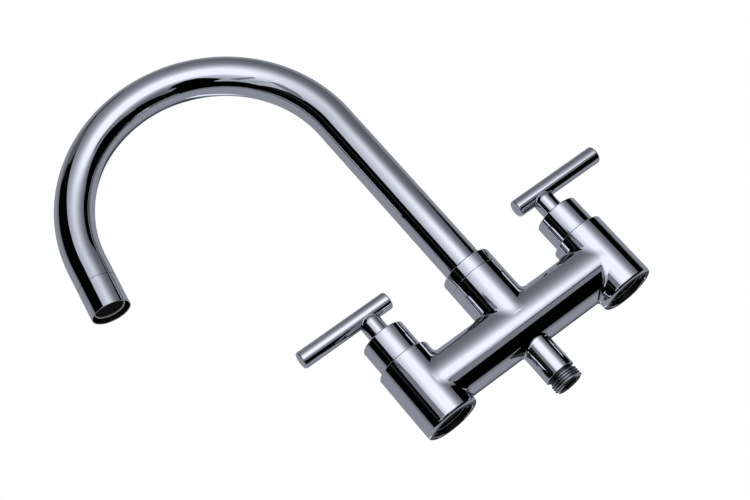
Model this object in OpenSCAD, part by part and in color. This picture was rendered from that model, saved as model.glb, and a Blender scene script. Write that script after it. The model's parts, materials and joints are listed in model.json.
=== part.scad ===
// Two-handle bridge mixer with a swivelling gooseneck spout and a threaded lower outlet.
// Sizes are in millimetres. The origin is midway between the two inlets, in the plane of
// their faces. +Z points up the spout column and +X runs along the bridge.

/* [Body] */
// Distance between the axes of the two inlets
inlet_spacing = 150; // [130:1:180]
// Outer diameter of the two valve barrels
barrel_d = 39.2; // [38.8:0.1:44]
// Height of the valve barrels above the inlet faces
barrel_h = 51; // [50:0.5:58]
// Outer diameter of the bridge between the barrels
bridge_d = 38.4; // [34:0.1:38.6]
// Height of the bridge axis above the inlet faces
bridge_z = 25; // [24:0.5:27]
// Wall of the spout column and its ring nut around the spout tube
column_wall = 5; // [4.8:0.1:5.2]
// Height of the column's shoulder above the inlet faces
column_h = 68.3; // [66:0.1:90]
// Outer diameter of the lower boss
boss_d = 22; // [21.4:0.1:28]
// Distance that the lower boss reaches below the inlet faces
boss_drop = 17; // [14:0.5:30]
// Edge rounding at the inlet end of the barrels
barrel_foot_r = 2.2; // [0.5:0.1:3]
// Edge rounding at the top of the barrels
barrel_top_r = 0.8; // [0.3:0.1:1]
// Diameter of the cored cavity inside the bridge
core_d = 28; // [20:0.5:28]
// Diameter of the ports between the cavity and the barrels
waterway_d = 13; // [9:0.5:14]
// Diameter of the waterway that rises to the spout
riser_d = 16; // [12:0.5:20]
// Diameter of the waterway that drops to the lower outlet
drop_d = 10; // [7:0.5:11]

/* [Inlets] */
// Outer diameter of the parallel pipe thread in the inlets
inlet_major_d = 26.441; // [26.2:0.001:26.6]
// Crest diameter of the parallel pipe thread in the inlets
inlet_minor_d = 24.117; // [23.9:0.001:24.3]
// Pitch of the pipe threads
pipe_pitch = 1.814; // [1.5:0.001:2]
// Full turns of thread in each inlet
inlet_turns = 6; // [5:1:6]
// Diameter of the union recess at each inlet's mouth
recess_d = 30.4; // [28:0.1:32]
// Depth of the union recess at each inlet's mouth
recess_h = 1.6; // [1:0.1:2]

/* [Lower outlet] */
// Outer diameter of the parallel pipe thread on the lower outlet
outlet_major_d = 20.955; // [20.8:0.001:21.1]
// Root diameter of the parallel pipe thread on the lower outlet
outlet_minor_d = 18.631; // [18.5:0.001:18.8]
// Full turns of thread on the lower outlet
outlet_turns = 4; // [3:1:10]
// Diameter of the undercut above the thread
neck_d = 18; // [17.4:0.1:18.4]
// Height of the undercut above the thread
neck_h = 1.6; // [1:0.1:3]
// Diameter of the nipple's end inside the boss
nipple_d = 16.6; // [15:0.1:17]
// Length of the nipple's end inside the boss
nipple_h = 11; // [8:0.5:12]
// Width across flats of the hexagon in the nipple's bore
key_af = 12; // [10:0.5:12.5]
// Depth of the hexagon in the nipple's bore
key_h = 9; // [6:0.5:12]

/* [Spout] */
// Outer diameter of the spout tube
tube_d = 27.8; // [26.8:0.1:28.2]
// Wall thickness of the spout tube
tube_wall = 1.2; // [1:0.1:1.6]
// Height above the inlet faces at which the bend starts
tube_rise = 221; // [150:1:320]
// Bend radius at the middle of the tube
bend_r = 98.3; // [50:0.1:150]
// Angle that the tube is bent through
bend_angle = 170; // [120:1:180]
// Length from the end of the bend to the outlet's rim
tail_h = 39.3; // [30:0.1:80]
// Widening of the straight end that takes the outlet adapter
end_swell = 0.1; // [0.06:0.02:0.3]
// Direction of the spout at rest, turned from +X about the column
spout_turn = 176.5; // [0:0.5:359.5]
// Height of the ring nut that holds the spout
nut_h = 10; // [9.8:0.1:12]
// Edge rounding of the ring nut's top
nut_edge_r = 0.9; // [0.3:0.1:1.2]
// Length of the swivel spigot inside the column
spigot_h = 18; // [15:0.5:20]
// Wall thickness of the swivel spigot
spigot_wall = 4.9; // [4:0.1:6]

/* [Aerator] */
// Length of the sleeve that screws on to the spout's end
sleeve_h = 22.5; // [17:0.5:24]
// Distance of the insert's face inside the sleeve's rim
insert_recess = 2.8; // [2.2:0.1:3.2]
// Width of the gap between the rim and the insert's face
insert_gap = 2.25; // [1.8:0.05:2.5]
// Width of the insert's edge around the outlet screen
insert_edge = 0.85; // [0.7:0.05:1.1]
// Spacing of the holes in the outlet screen
screen_pitch = 2.1; // [2:0.1:4]
// Number of jets in the diffuser
jet_count = 18; // [6:1:24]

/* [Handles] */
// Outer diameter of the handle hubs
hub_d = 32; // [30:0.1:36]
// Height of the handle hubs
hub_h = 21.1; // [20:0.1:28]
// Running gap between barrel and hub
hub_gap = 0.4; // [0.3:0.1:0.8]
// Edge rounding of the hub's top
hub_edge_r = 1; // [0.3:0.1:2]
// Wall thickness of the hub
hub_wall = 2.4; // [2:0.1:3]
// Diameter of the posts that carry the bars
post_d = 15.2; // [13.5:0.1:17]
// Diameter of the bars
bar_d = 12.4; // [8:0.1:12.8]
// Height of the bar's axis above the hub
bar_rise = 19.2; // [16:0.1:30]
// Reach of the bar outward from the valve's axis
bar_out = 52.2; // [30:0.1:70]
// Reach of the bar inward from the valve's axis
bar_in = 19.5; // [10:0.1:24]
// Chamfer on the ends of the bar
bar_edge = 0.7; // [0.2:0.1:1]
// Height of the posts above the hub, which ends inside the bar
post_h = 17; // [15:0.1:18]
// Edge rounding at the top of the posts
post_edge_r = 4.2; // [2:0.1:5]

/* [Cartridges] */
// Outer diameter of the cartridge's threaded part
cartridge_d = 20.9; // [20.6:0.1:21.4]
// Outer diameter of the cartridge's sleeve
cartridge_sleeve_d = 18.2; // [18:0.1:18.6]
// Diameter of the cartridge's collar
collar_d = 27.5; // [26:0.1:28]
// Thickness of the cartridge's collar
collar_h = 2.5; // [2.4:0.1:3]
// Width across flats of the cartridge's hexagon
hexagon_af = 22; // [18:0.5:23]
// Height of the cartridge's hexagon
hexagon_h = 5; // [4:0.1:5]
// Diameter of the ceramic discs' bore in the cartridge
disc_bore_d = 16.4; // [16:0.1:16.5]
// Thickness of each ceramic disc
disc_h = 3; // [2.8:0.1:3.2]
// Thickness of the rubber seal under the cartridge
seal_h = 2.6; // [2.2:0.1:3]
// Diameter of the spindle
spindle_d = 9.2; // [8.8:0.1:9.6]
// Number of splines on the spindle
spline_count = 20; // [12:1:24]

/* [Hidden] */
$fn = 96;

LEFT = -1;
RIGHT = 1;

// Clearances: between parts that stay still, on a radius; between parts that turn, on a
// radius; and between flat faces that turn on each other
fit = 0.05;
run = 0.05;
play = 0.05;
// Length by which a cut passes the surface that it opens
past = 1;

// Finishes
CHROME = "silver";
BRASS = "goldenrod";
RUBBER = "dimgray";
PLASTIC = "ivory";
CERAMIC = "white";
STEEL = "lightsteelblue";

// Inlet stack, from the inlet face upward
relief_h = 1.5;
relief_room = 0.4;
relief_d = inlet_major_d + relief_room;
seat_web = 2.5;
seat_bore_d = 12;
inlet_thread_h = inlet_turns * pipe_pitch;
seat_z = recess_h + inlet_thread_h + relief_h + seat_web;
core_stop = 3.5;
core_length = inlet_spacing - barrel_d - 2 * core_stop;

// Cartridge stack, from the valve seat upward
sleeve_lift = 1.2;
fixed_disc_z = seat_z + seal_h;
moving_disc_z = fixed_disc_z + disc_h + play;
plate_z = moving_disc_z + disc_h + play;
plate_h = 3;
shoulder_z = plate_z + plate_h + play;
chamber_d = 23;
chamber_room = 0.5;
chamber_top = bridge_z + waterway_d / 2 + chamber_room;
head_h = 9;
head_z = barrel_h - head_h;
head_room = 0.75;
head_bore_d = collar_d + 2 * head_room;
cartridge_top = head_z + collar_h + hexagon_h;
window_w = 9;
window_edge = 0.3;
window_z = moving_disc_z + window_edge;
window_h = shoulder_z - window_z - window_edge;
tab_w = 3;
port_inner_r = 2;
port_outer_r = 6.4;
port_angle = 84;
fixed_disc_room = 0.1;
moving_disc_room = 0.3;
fixed_disc_d = disc_bore_d - 2 * fixed_disc_room;
moving_disc_d = disc_bore_d - 2 * moving_disc_room;
tang_w = 4;
tang_h = 1.2;
collar_ring_section = 1.6;
collar_ring_inset = 1.2;
collar_ring_r = cartridge_d / 2 + collar_ring_inset;
groove_room = 0.2;
spindle_ring_section = 1.5;
spindle_ring_step = 5;
spindle_ring_drop = 4;
spindle_ring_z = [
    cartridge_top - spindle_ring_drop - spindle_ring_step,
    cartridge_top - spindle_ring_drop
];

// Spindle end, clip and bush
clip_h = 0.9;
clip_d = 13;
clip_groove_h = 0.9;
clip_groove_d = spindle_d - 2 * clip_groove_h;
clip_gap = 3;
clip_z = cartridge_top + play;
hub_z = barrel_h + hub_gap;
hub_top = hub_z + hub_h;
spline_step = 0.3;
spline_depth = 0.45;
spline_tip_d = spindle_d - 2 * spline_step;
spline_root_d = spline_tip_d - 2 * spline_depth;
spline_z = hub_z;
spline_h = 10.6;
bush_wall = 2.5;
bush_d = spline_tip_d + 2 * bush_wall;
bush_lift = 1.2;
bush_h = 10.9;
bush_z = hub_z + bush_lift;
bush_top = bush_z + bush_h;
bush_boss_wall = 2.2;
bush_boss_d = bush_d + 2 * bush_boss_wall;

// Handle
hub_roof = 4.5;
screw_d = 5;
screw_lift = 6.6;
screw_z = hub_z + screw_lift;
screw_sink = 2.4;
screw_key_af = 2.5;
screw_key_h = 2.5;
screw_pad_w = 8;
spigot_post_d = 8;
spigot_post_h = 6.5;
bar_z = hub_top + bar_rise;

// Nut and swivel, from the top of the nut downward
nut_web = 1.8;
nut_gap = 0.2;
slip_h = 0.8;
flange_h = 2;
nut_top = column_h + nut_h;
upper_ring_z = nut_top - nut_web - slip_h;
flange_top = upper_ring_z - play;
flange_z = flange_top - flange_h;
lower_ring_z = flange_z - play - slip_h;
nut_wall = 2.1;
flange_room = 0.6;
slip_room = 0.2;
nut_room = 0.3;
slip_inner_room = 0.2;
column_d = tube_d + 2 * column_wall;
column_neck_d = column_d - 2 * nut_wall;
flange_d = column_neck_d - 2 * flange_room;
slip_d = column_neck_d - 2 * slip_room;
slip_inner_d = tube_d + 2 * slip_inner_room;
nut_hole_d = tube_d + 2 * nut_room;
spigot_step = 0.5;
spigot_d = tube_d - 2 * spigot_step;
spigot_bore_d = spigot_d - 2 * spigot_wall;
spigot_z = flange_z - spigot_h;
spigot_tongue_h = 8;
socket_d = spigot_d + 2 * run;
socket_room = 1;
socket_z = spigot_z - socket_room;
spout_ring_section = 2;
spout_ring_lift = 4;
spout_ring_step = 6;
spout_ring_z = [spigot_z + spout_ring_lift, spigot_z + spout_ring_lift + spout_ring_step];

// Lower outlet, from the boss's end
nipple_seal_h = 1.5;
key_edge = 1.1;
nipple_seal_edge = 1;
nipple_bore_d = key_af - 2 * key_edge;
thread_z = -boss_drop - neck_h;
outlet_thread_h = outlet_turns * pipe_pitch;
lead_h = 0.6;
outlet_end_z = thread_z - outlet_thread_h - lead_h;
boss_foot_r = 0.8;
nipple_socket_z = -boss_drop + nipple_h + nipple_seal_h;

// Aerator, from the sleeve's rim up along the tube's end
tube_bore_d = tube_d - 2 * tube_wall;
end_lap = 0.3;
end_bore_d = tube_bore_d + end_swell;
sleeve_wall = 1.3;
mouth_wall = 0.7;
sleeve_bore_d = tube_d - 2 * sleeve_wall;
mouth_d = tube_d - 2 * mouth_wall;
insert_face_d = mouth_d - 2 * insert_gap;
screen_d = insert_face_d - 2 * insert_edge;
rim_r = 0.4;
lip_z = 4;
lip_h = 1.2;
lip_room = 0.25;
lip_bore_d = insert_face_d + 2 * lip_room;
seam_gap = 0.15;
adapter_end = 11.5;
adapter_tongue_h = 8;
adapter_wall = 2.8;
adapter_bore_d = sleeve_bore_d - 2 * adapter_wall;
washer_h = 1.3;
washer_room = 0.2;
insert_top = adapter_end - washer_h;
insert_shelf = 1;
insert_bore_d = screen_d - 2 * insert_shelf;
screen_h = 0.6;
screen_sink = 0.8;
screen_z = insert_recess + screen_sink;
screen_bar = 0.7;
screen_land = 0.4;
screen_hole_d = screen_pitch - screen_bar;
diffuser_h = 1.4;
filter_h = 0.6;
diffuser_z = insert_top - filter_h - diffuser_h;
jet_d = 1.3;
jet_rows = [0.36, 0.2];
filter_lap = 1;
pocket_d = adapter_bore_d + 2 * filter_lap;
filter_edge = 2.8;
filter_dome_d = pocket_d - 2 * filter_edge;
filter_dome_h = 3;
filter_t = 0.5;

// ---------- shared shapes ----------

// A turned bar standing on z = 0, with rounded top and bottom edges
module turned(r, h, top_r = 0, foot_r = 0) {
    rotate_extrude()
        difference() {
            square([r, h]);
            if (top_r > 0)
                translate([r - top_r, h - top_r])
                    round_off(top_r);
            if (foot_r > 0)
                translate([r - foot_r, foot_r])
                    mirror([0, 1])
                        round_off(foot_r);
        }
}

// What a rounded outer corner loses
module round_off(r) {
    difference() {
        square(r + past);
        circle(r);
    }
}

module ring(outer_d, inner_d, h) {
    difference() {
        cylinder(d = outer_d, h = h);
        translate([0, 0, -past])
            cylinder(d = inner_d, h = h + 2 * past);
    }
}

// An O-ring around the z axis, its section centred on z = 0
module o_ring(outer_r, section) {
    rotate_extrude()
        translate([outer_r - section / 2, 0])
            circle(d = section);
}

// One flank-to-flank outline of thread rings from z = 0 up, each ring a flat crest
function thread_steps(wall_r, groove_r, pitch, turns) = [
    for (i = [0 : turns - 1])
        each [
            [wall_r, i * pitch],
            [wall_r, (i + 0.13) * pitch],
            [groove_r, (i + 0.42) * pitch],
            [groove_r, (i + 0.58) * pitch],
            [wall_r, (i + 0.87) * pitch]
        ],
    [wall_r, turns * pitch]
];

// A threaded core: crests at wall_r, grooves at groove_r
module threaded_core(wall_r, groove_r, pitch, turns) {
    rotate_extrude()
        polygon(concat(
            [[0, 0]],
            thread_steps(wall_r, groove_r, pitch, turns),
            [[0, turns * pitch]]
        ));
}

// A splined shaft or, as a cut, a splined bore
module splined(root_r, tip_r, h) {
    linear_extrude(h)
        polygon([
            for (i = [0 : 2 * spline_count - 1])
                let (r = i % 2 == 0 ? tip_r : root_r, a = i * 180 / spline_count)
                    [r * cos(a), r * sin(a)]
        ]);
}

// Two opposite ports of a ceramic disc, centred on the x axis
module disc_ports(outer_r, h) {
    half = port_angle / 2;
    wide = 2 * outer_r;
    intersection() {
        ring(2 * outer_r, 2 * port_inner_r, h);
        for (turn = [0, 180])
            rotate(turn)
                linear_extrude(h)
                    polygon([
                        [0, 0],
                        [wide * cos(half), -wide * sin(half)],
                        [wide * cos(half), wide * sin(half)]
                    ]);
    }
}

module at_valve(side) {
    translate([side * inlet_spacing / 2, 0, 0])
        if (side == LEFT)
            mirror([1, 0, 0]) children();
        else
            children();
}

// ---------- body ----------

module barrel() {
    turned(barrel_d / 2, barrel_h, barrel_top_r, barrel_foot_r);
}

module barrel_cuts() {
    translate([0, 0, -past])
        cylinder(d = recess_d, h = recess_h + past);
    translate([0, 0, recess_h])
        threaded_core(inlet_minor_d / 2, inlet_major_d / 2, pipe_pitch, inlet_turns);
    translate([0, 0, recess_h + inlet_thread_h])
        cylinder(d = relief_d, h = relief_h);
    translate([0, 0, recess_h + inlet_thread_h])
        cylinder(d = seat_bore_d, h = relief_h + seat_web + past);
    translate([0, 0, seat_z])
        cylinder(d = chamber_d, h = chamber_top - seat_z);
    translate([0, 0, seat_z])
        cylinder(d = cartridge_d + 2 * fit, h = head_z - seat_z + past);
    translate([0, 0, head_z])
        cylinder(d = head_bore_d, h = head_h + past);
}

module column() {
    translate([0, 0, bridge_z])
        cylinder(d = column_d, h = column_h - bridge_z);
    translate([0, 0, bridge_z])
        cylinder(d = column_neck_d, h = lower_ring_z - bridge_z);
}

module boss() {
    translate([0, 0, -boss_drop])
        turned(boss_d / 2, boss_drop + bridge_z, 0, boss_foot_r);
}

module along_bridge(d, length = inlet_spacing) {
    translate([-length / 2, 0, bridge_z])
        rotate([0, 90, 0])
            cylinder(d = d, h = length);
}

module mixer_body() {
    color(CHROME)
        difference() {
            union() {
                for (side = [LEFT, RIGHT])
                    at_valve(side) barrel();
                along_bridge(bridge_d);
                column();
                boss();
            }
            for (side = [LEFT, RIGHT])
                at_valve(side) barrel_cuts();
            along_bridge(waterway_d);
            along_bridge(core_d, core_length);
            translate([0, 0, bridge_z])
                cylinder(d = riser_d, h = socket_z - bridge_z + past);
            translate([0, 0, socket_z])
                cylinder(d = socket_d, h = lower_ring_z - socket_z + past);
            translate([0, 0, nipple_socket_z - past])
                cylinder(d = drop_d, h = bridge_z - nipple_socket_z + past);
            translate([0, 0, -boss_drop - past])
                cylinder(d = nipple_d + 2 * fit, h = nipple_socket_z + boss_drop + past);
        }
}

module outlet_nipple() {
    color(CHROME)
        difference() {
            union() {
                translate([0, 0, -boss_drop])
                    cylinder(d = nipple_d, h = nipple_h);
                translate([0, 0, thread_z])
                    cylinder(d = neck_d, h = neck_h);
                translate([0, 0, thread_z - outlet_thread_h])
                    threaded_core(outlet_major_d / 2, outlet_minor_d / 2, pipe_pitch, outlet_turns);
                translate([0, 0, outlet_end_z])
                    cylinder(d1 = outlet_minor_d, d2 = outlet_major_d, h = lead_h);
            }
            translate([0, 0, outlet_end_z - past])
                cylinder(d = key_af / cos(30), h = key_h + past, $fn = 6);
            translate([0, 0, outlet_end_z])
                cylinder(d = nipple_bore_d, h = nipple_h - boss_drop - outlet_end_z + past);
        }
}

module nipple_seal() {
    color(RUBBER)
        translate([0, 0, nipple_socket_z - nipple_seal_h])
            ring(nipple_d, nipple_bore_d + 2 * nipple_seal_edge, nipple_seal_h);
}

module spout_nut() {
    skirt_z = column_h + nut_gap;
    color(CHROME)
        translate([0, 0, skirt_z])
            difference() {
                turned(column_d / 2, nut_top - skirt_z, nut_edge_r);
                translate([0, 0, -past])
                    cylinder(d = column_neck_d + 2 * fit, h = nut_top - nut_web - skirt_z + past);
                cylinder(d = nut_hole_d, h = nut_h + past);
            }
}

module slip_ring(z) {
    color(PLASTIC)
        translate([0, 0, z])
            ring(slip_d, slip_inner_d, slip_h);
}

// ---------- cartridge, still parts ----------

module cartridge_body(side) {
    sleeve_z = seat_z + sleeve_lift;
    color(BRASS)
        at_valve(side)
            difference() {
                union() {
                    translate([0, 0, sleeve_z])
                        cylinder(d = cartridge_sleeve_d, h = head_z - sleeve_z);
                    translate([0, 0, chamber_top])
                        cylinder(d = cartridge_d, h = head_z - chamber_top);
                    translate([0, 0, head_z])
                        cylinder(d = collar_d, h = collar_h);
                    translate([0, 0, head_z + collar_h])
                        cylinder(d = hexagon_af / cos(30), h = hexagon_h, $fn = 6);
                }
                translate([0, 0, sleeve_z - past])
                    cylinder(d = disc_bore_d, h = shoulder_z - sleeve_z + past);
                translate([0, 0, sleeve_z])
                    cylinder(d = spindle_d + 2 * run, h = cartridge_top - sleeve_z + past);
                translate([-barrel_d / 2, -window_w / 2, window_z])
                    cube([barrel_d, window_w, window_h]);
                translate([-tab_w / 2 - fit, -barrel_d / 2, sleeve_z - past])
                    cube([tab_w + 2 * fit, barrel_d, fixed_disc_z + disc_h - sleeve_z + past]);
                translate([0, 0, head_z - past])
                    ring(
                        2 * collar_ring_r + collar_ring_section + groove_room,
                        2 * collar_ring_r - collar_ring_section - groove_room,
                        collar_ring_section + groove_room / 2 + past
                    );
            }
}

module seat_seal(side) {
    color(RUBBER)
        at_valve(side)
            translate([0, 0, seat_z])
                ring(disc_bore_d - 2 * fit, seat_bore_d, seal_h);
}

module fixed_disc(side) {
    color(CERAMIC)
        at_valve(side)
            translate([0, 0, fixed_disc_z])
                difference() {
                    union() {
                        cylinder(d = fixed_disc_d, h = disc_h);
                        intersection() {
                            cylinder(d = cartridge_sleeve_d, h = disc_h);
                            translate([-tab_w / 2, -cartridge_sleeve_d / 2, 0])
                                cube([tab_w, cartridge_sleeve_d, disc_h]);
                        }
                    }
                    translate([0, 0, -past])
                        disc_ports(port_outer_r, disc_h + 2 * past);
                }
}

module collar_o_ring(side) {
    color(RUBBER)
        at_valve(side)
            translate([0, 0, head_z + collar_ring_section / 2])
                o_ring(collar_ring_r + collar_ring_section / 2, collar_ring_section);
}

// ---------- cartridge, turning parts ----------

module moving_disc(side) {
    color(CERAMIC)
        at_valve(side)
            translate([0, 0, moving_disc_z])
                difference() {
                    cylinder(d = moving_disc_d, h = disc_h);
                    rotate(90)
                        translate([0, 0, -past])
                            disc_ports(moving_disc_d, disc_h + 2 * past);
                    translate([-moving_disc_d, -tang_w / 2 - fit, disc_h - tang_h - fit])
                        cube([2 * moving_disc_d, tang_w + 2 * fit, tang_h + past]);
                }
}

module spindle(side) {
    color(BRASS)
        at_valve(side)
            difference() {
                union() {
                    translate([0, 0, plate_z])
                        cylinder(d = moving_disc_d, h = plate_h);
                    intersection() {
                        translate([0, 0, plate_z - tang_h])
                            cylinder(d = moving_disc_d, h = plate_h);
                        translate([-moving_disc_d, -tang_w / 2, plate_z - tang_h])
                            cube([2 * moving_disc_d, tang_w, plate_h]);
                    }
                    translate([0, 0, plate_z])
                        cylinder(d = spindle_d, h = spline_z - plate_z);
                    translate([0, 0, spline_z - past])
                        splined(spline_root_d / 2, spline_tip_d / 2, spline_h + past);
                }
                for (z = spindle_ring_z)
                    translate([0, 0, z - spindle_ring_section / 2 - groove_room])
                        ring(
                            spindle_d + past,
                            spindle_d - 2 * spindle_ring_section,
                            spindle_ring_section + 2 * groove_room
                        );
                translate([0, 0, clip_z])
                    ring(spindle_d + past, clip_groove_d, clip_h + play);
            }
}

module spindle_o_rings(side) {
    color(RUBBER)
        at_valve(side)
            for (z = spindle_ring_z)
                translate([0, 0, z])
                    o_ring(spindle_d / 2, spindle_ring_section);
}

module retaining_clip(side) {
    color(STEEL)
        at_valve(side)
            translate([0, 0, clip_z])
                difference() {
                    ring(clip_d, clip_groove_d + 2 * fit, clip_h);
                    translate([0, -clip_gap / 2, -past])
                        cube([clip_d, clip_gap, clip_h + 2 * past]);
                }
}

module spline_bush(side) {
    color(PLASTIC)
        at_valve(side)
            translate([0, 0, bush_z])
                difference() {
                    cylinder(d = bush_d, h = bush_top - bush_z);
                    translate([0, 0, -past])
                        splined(
                            spline_root_d / 2 + 2 * fit,
                            spline_tip_d / 2 + 2 * fit,
                            bush_top - bush_z + 2 * past
                        );
                }
}

// ---------- handle ----------

module handle_hub(side) {
    cavity_r = hub_d / 2 - hub_wall;
    cavity_h = hub_h - hub_roof;
    color(CHROME)
        at_valve(side)
            translate([0, 0, hub_z])
                difference() {
                    turned(hub_d / 2, hub_h, hub_edge_r);
                    difference() {
                        translate([0, 0, -past])
                            cylinder(r = cavity_r, h = cavity_h + past);
                        translate([0, 0, bush_z - hub_z])
                            cylinder(d = bush_boss_d, h = hub_h);
                        translate([-screw_pad_w / 2, 0, bush_z - hub_z])
                            cube([screw_pad_w, hub_d, hub_h]);
                    }
                    translate([0, 0, -past])
                        cylinder(d = bush_d + 2 * fit, h = bush_top - hub_z + fit + past);
                    translate([0, 0, hub_h - spigot_post_h - fit])
                        cylinder(d = spigot_post_d + 2 * fit, h = spigot_post_h + past);
                    translate([0, 0, screw_z - hub_z])
                        rotate([-90, 0, 0])
                            cylinder(d = screw_d + 2 * fit, h = hub_d);
                }
}

module set_screw(side) {
    tip_y = bush_d / 2 + fit;
    head_y = hub_d / 2 - screw_sink;
    color(STEEL)
        at_valve(side)
            translate([0, tip_y, screw_z])
                rotate([-90, 0, 0])
                    difference() {
                        cylinder(d = screw_d, h = head_y - tip_y);
                        translate([0, 0, head_y - tip_y - screw_key_h])
                            cylinder(d = screw_key_af / cos(30), h = screw_key_h + past, $fn = 6);
                    }
}

module handle_post(side) {
    color(CHROME)
        at_valve(side)
            difference() {
                union() {
                    translate([0, 0, hub_top])
                        turned(post_d / 2, post_h, post_edge_r);
                    translate([0, 0, hub_top - spigot_post_h])
                        cylinder(d = spigot_post_d, h = spigot_post_h + past);
                }
                translate([-post_d, 0, bar_z])
                    rotate([0, 90, 0])
                        cylinder(d = bar_d + 2 * fit, h = 2 * post_d);
            }
}

module handle_bar(side) {
    half = bar_d / 2;
    length = bar_in + bar_out;
    color(CHROME)
        at_valve(side)
            translate([-bar_in, 0, bar_z])
                rotate([0, 90, 0])
                    rotate_extrude()
                        polygon([
                            [0, 0],
                            [half - bar_edge, 0],
                            [half, bar_edge],
                            [half, length - bar_edge],
                            [half - bar_edge, length],
                            [0, length]
                        ]);
}

// ---------- spout ----------

module at_spout() {
    rotate([0, 0, spout_turn])
        children();
}

// The outlet's rim becomes z = 0, with +z back along the tube's axis
module at_outlet() {
    at_spout()
        translate([bend_r, 0, tube_rise])
            rotate([0, bend_angle, 0])
                translate([-bend_r, 0, tail_h])
                    mirror([0, 0, 1])
                        children();
}

// The run of the spout tube as a solid: upright, bend and the slightly wider straight end
module spout_run(d, foot_z, tip_z) {
    at_spout() {
        translate([0, 0, foot_z])
            cylinder(d = d, h = tube_rise - foot_z);
        translate([bend_r, 0, tube_rise])
            rotate([90, 0, 180])
                rotate_extrude(angle = bend_angle)
                    translate([bend_r, 0])
                        circle(d = d);
    }
    at_outlet()
        translate([0, 0, tip_z])
            cylinder(d = d + end_swell, h = tail_h + end_lap - tip_z);
}

module spout_tube() {
    color(CHROME)
        difference() {
            spout_run(tube_d, flange_top, sleeve_h + seam_gap);
            spout_run(tube_bore_d, flange_top - past, 0);
        }
}

module spout_spigot() {
    color(BRASS)
        at_spout()
            difference() {
                union() {
                    translate([0, 0, spigot_z])
                        cylinder(d = spigot_d, h = spigot_h);
                    translate([0, 0, flange_z])
                        cylinder(d = flange_d, h = flange_h);
                    translate([0, 0, flange_top])
                        cylinder(d = tube_bore_d - 2 * fit, h = spigot_tongue_h);
                }
                translate([0, 0, spigot_z - past])
                    cylinder(
                        d = spigot_bore_d,
                        h = flange_top + spigot_tongue_h - spigot_z + 2 * past
                    );
                for (z = spout_ring_z)
                    translate([0, 0, z - spout_ring_section / 2 - groove_room])
                        ring(
                            spigot_d + past,
                            spigot_d - 2 * spout_ring_section,
                            spout_ring_section + 2 * groove_room
                        );
            }
}

module spout_o_rings() {
    color(RUBBER)
        at_spout()
            for (z = spout_ring_z)
                translate([0, 0, z])
                    o_ring(spigot_d / 2, spout_ring_section);
}

module outlet_adapter() {
    color(BRASS)
        at_outlet()
            difference() {
                union() {
                    translate([0, 0, adapter_end])
                        cylinder(d = sleeve_bore_d - 2 * fit, h = sleeve_h - adapter_end + 2 * seam_gap);
                    translate([0, 0, sleeve_h + seam_gap])
                        cylinder(d = end_bore_d - 2 * fit, h = adapter_tongue_h);
                }
                translate([0, 0, adapter_end - past])
                    cylinder(d = adapter_bore_d, h = tail_h);
            }
}

module aerator_sleeve() {
    color(CHROME)
        at_outlet()
            difference() {
                turned(tube_d / 2, sleeve_h, 0, rim_r);
                translate([0, 0, -past])
                    cylinder(d = mouth_d, h = lip_z + past);
                cylinder(d = lip_bore_d, h = sleeve_h);
                translate([0, 0, lip_z + lip_h])
                    cylinder(d = sleeve_bore_d, h = sleeve_h);
            }
}

module aerator_washer() {
    color(RUBBER)
        at_outlet()
            translate([0, 0, insert_top])
                ring(sleeve_bore_d - 2 * washer_room, adapter_bore_d, washer_h);
}

module aerator_insert() {
    shelf_z = lip_z + lip_h;
    color(PLASTIC)
        at_outlet()
            difference() {
                union() {
                    translate([0, 0, insert_recess])
                        cylinder(d = insert_face_d, h = insert_top - insert_recess);
                    translate([0, 0, shelf_z])
                        cylinder(d = sleeve_bore_d - 4 * fit, h = insert_top - shelf_z);
                }
                translate([0, 0, -past])
                    cylinder(d = insert_bore_d, h = insert_top + 2 * past);
                translate([0, 0, -past])
                    cylinder(d = screen_d + 2 * fit, h = screen_z + screen_h + past);
                translate([0, 0, diffuser_z])
                    cylinder(d = pocket_d + 2 * fit, h = insert_top);
            }
}

module aerator_diffuser() {
    rows = [
        [jet_count, pocket_d * jet_rows[0]],
        [floor(jet_count / 2), pocket_d * jet_rows[1]]
    ];
    color(PLASTIC)
        at_outlet()
            translate([0, 0, diffuser_z])
                difference() {
                    cylinder(d = pocket_d, h = diffuser_h);
                    for (row = rows, i = [0 : row[0] - 1])
                        rotate(i * 360 / row[0])
                            translate([row[1], 0, -past])
                                cylinder(d = jet_d, h = diffuser_h + 2 * past, $fn = 24);
                }
}

module aerator_filter() {
    rise = filter_dome_h + filter_t;
    color(STEEL)
        at_outlet()
            translate([0, 0, diffuser_z + diffuser_h])
                difference() {
                    union() {
                        cylinder(d = pocket_d, h = filter_h);
                        cylinder(d1 = filter_dome_d, d2 = filter_dome_d / 2, h = rise);
                    }
                    translate([0, 0, -filter_t])
                        cylinder(d1 = filter_dome_d, d2 = filter_dome_d / 2, h = rise);
                }
}

module aerator_screen() {
    reach = ceil(screen_d / screen_pitch);
    limit = screen_d / 2 - screen_hole_d / 2 - screen_land;
    color(STEEL)
        at_outlet()
            translate([0, 0, screen_z])
                difference() {
                    cylinder(d = screen_d, h = screen_h);
                    for (i = [-reach : reach], j = [-reach : reach])
                        let (x = (i + j / 2) * screen_pitch, y = j * screen_pitch * sin(60))
                            if (norm([x, y]) <= limit)
                                translate([x, y, -past])
                                    cylinder(d = screen_hole_d, h = screen_h + 2 * past, $fn = 24);
                }
}

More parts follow.
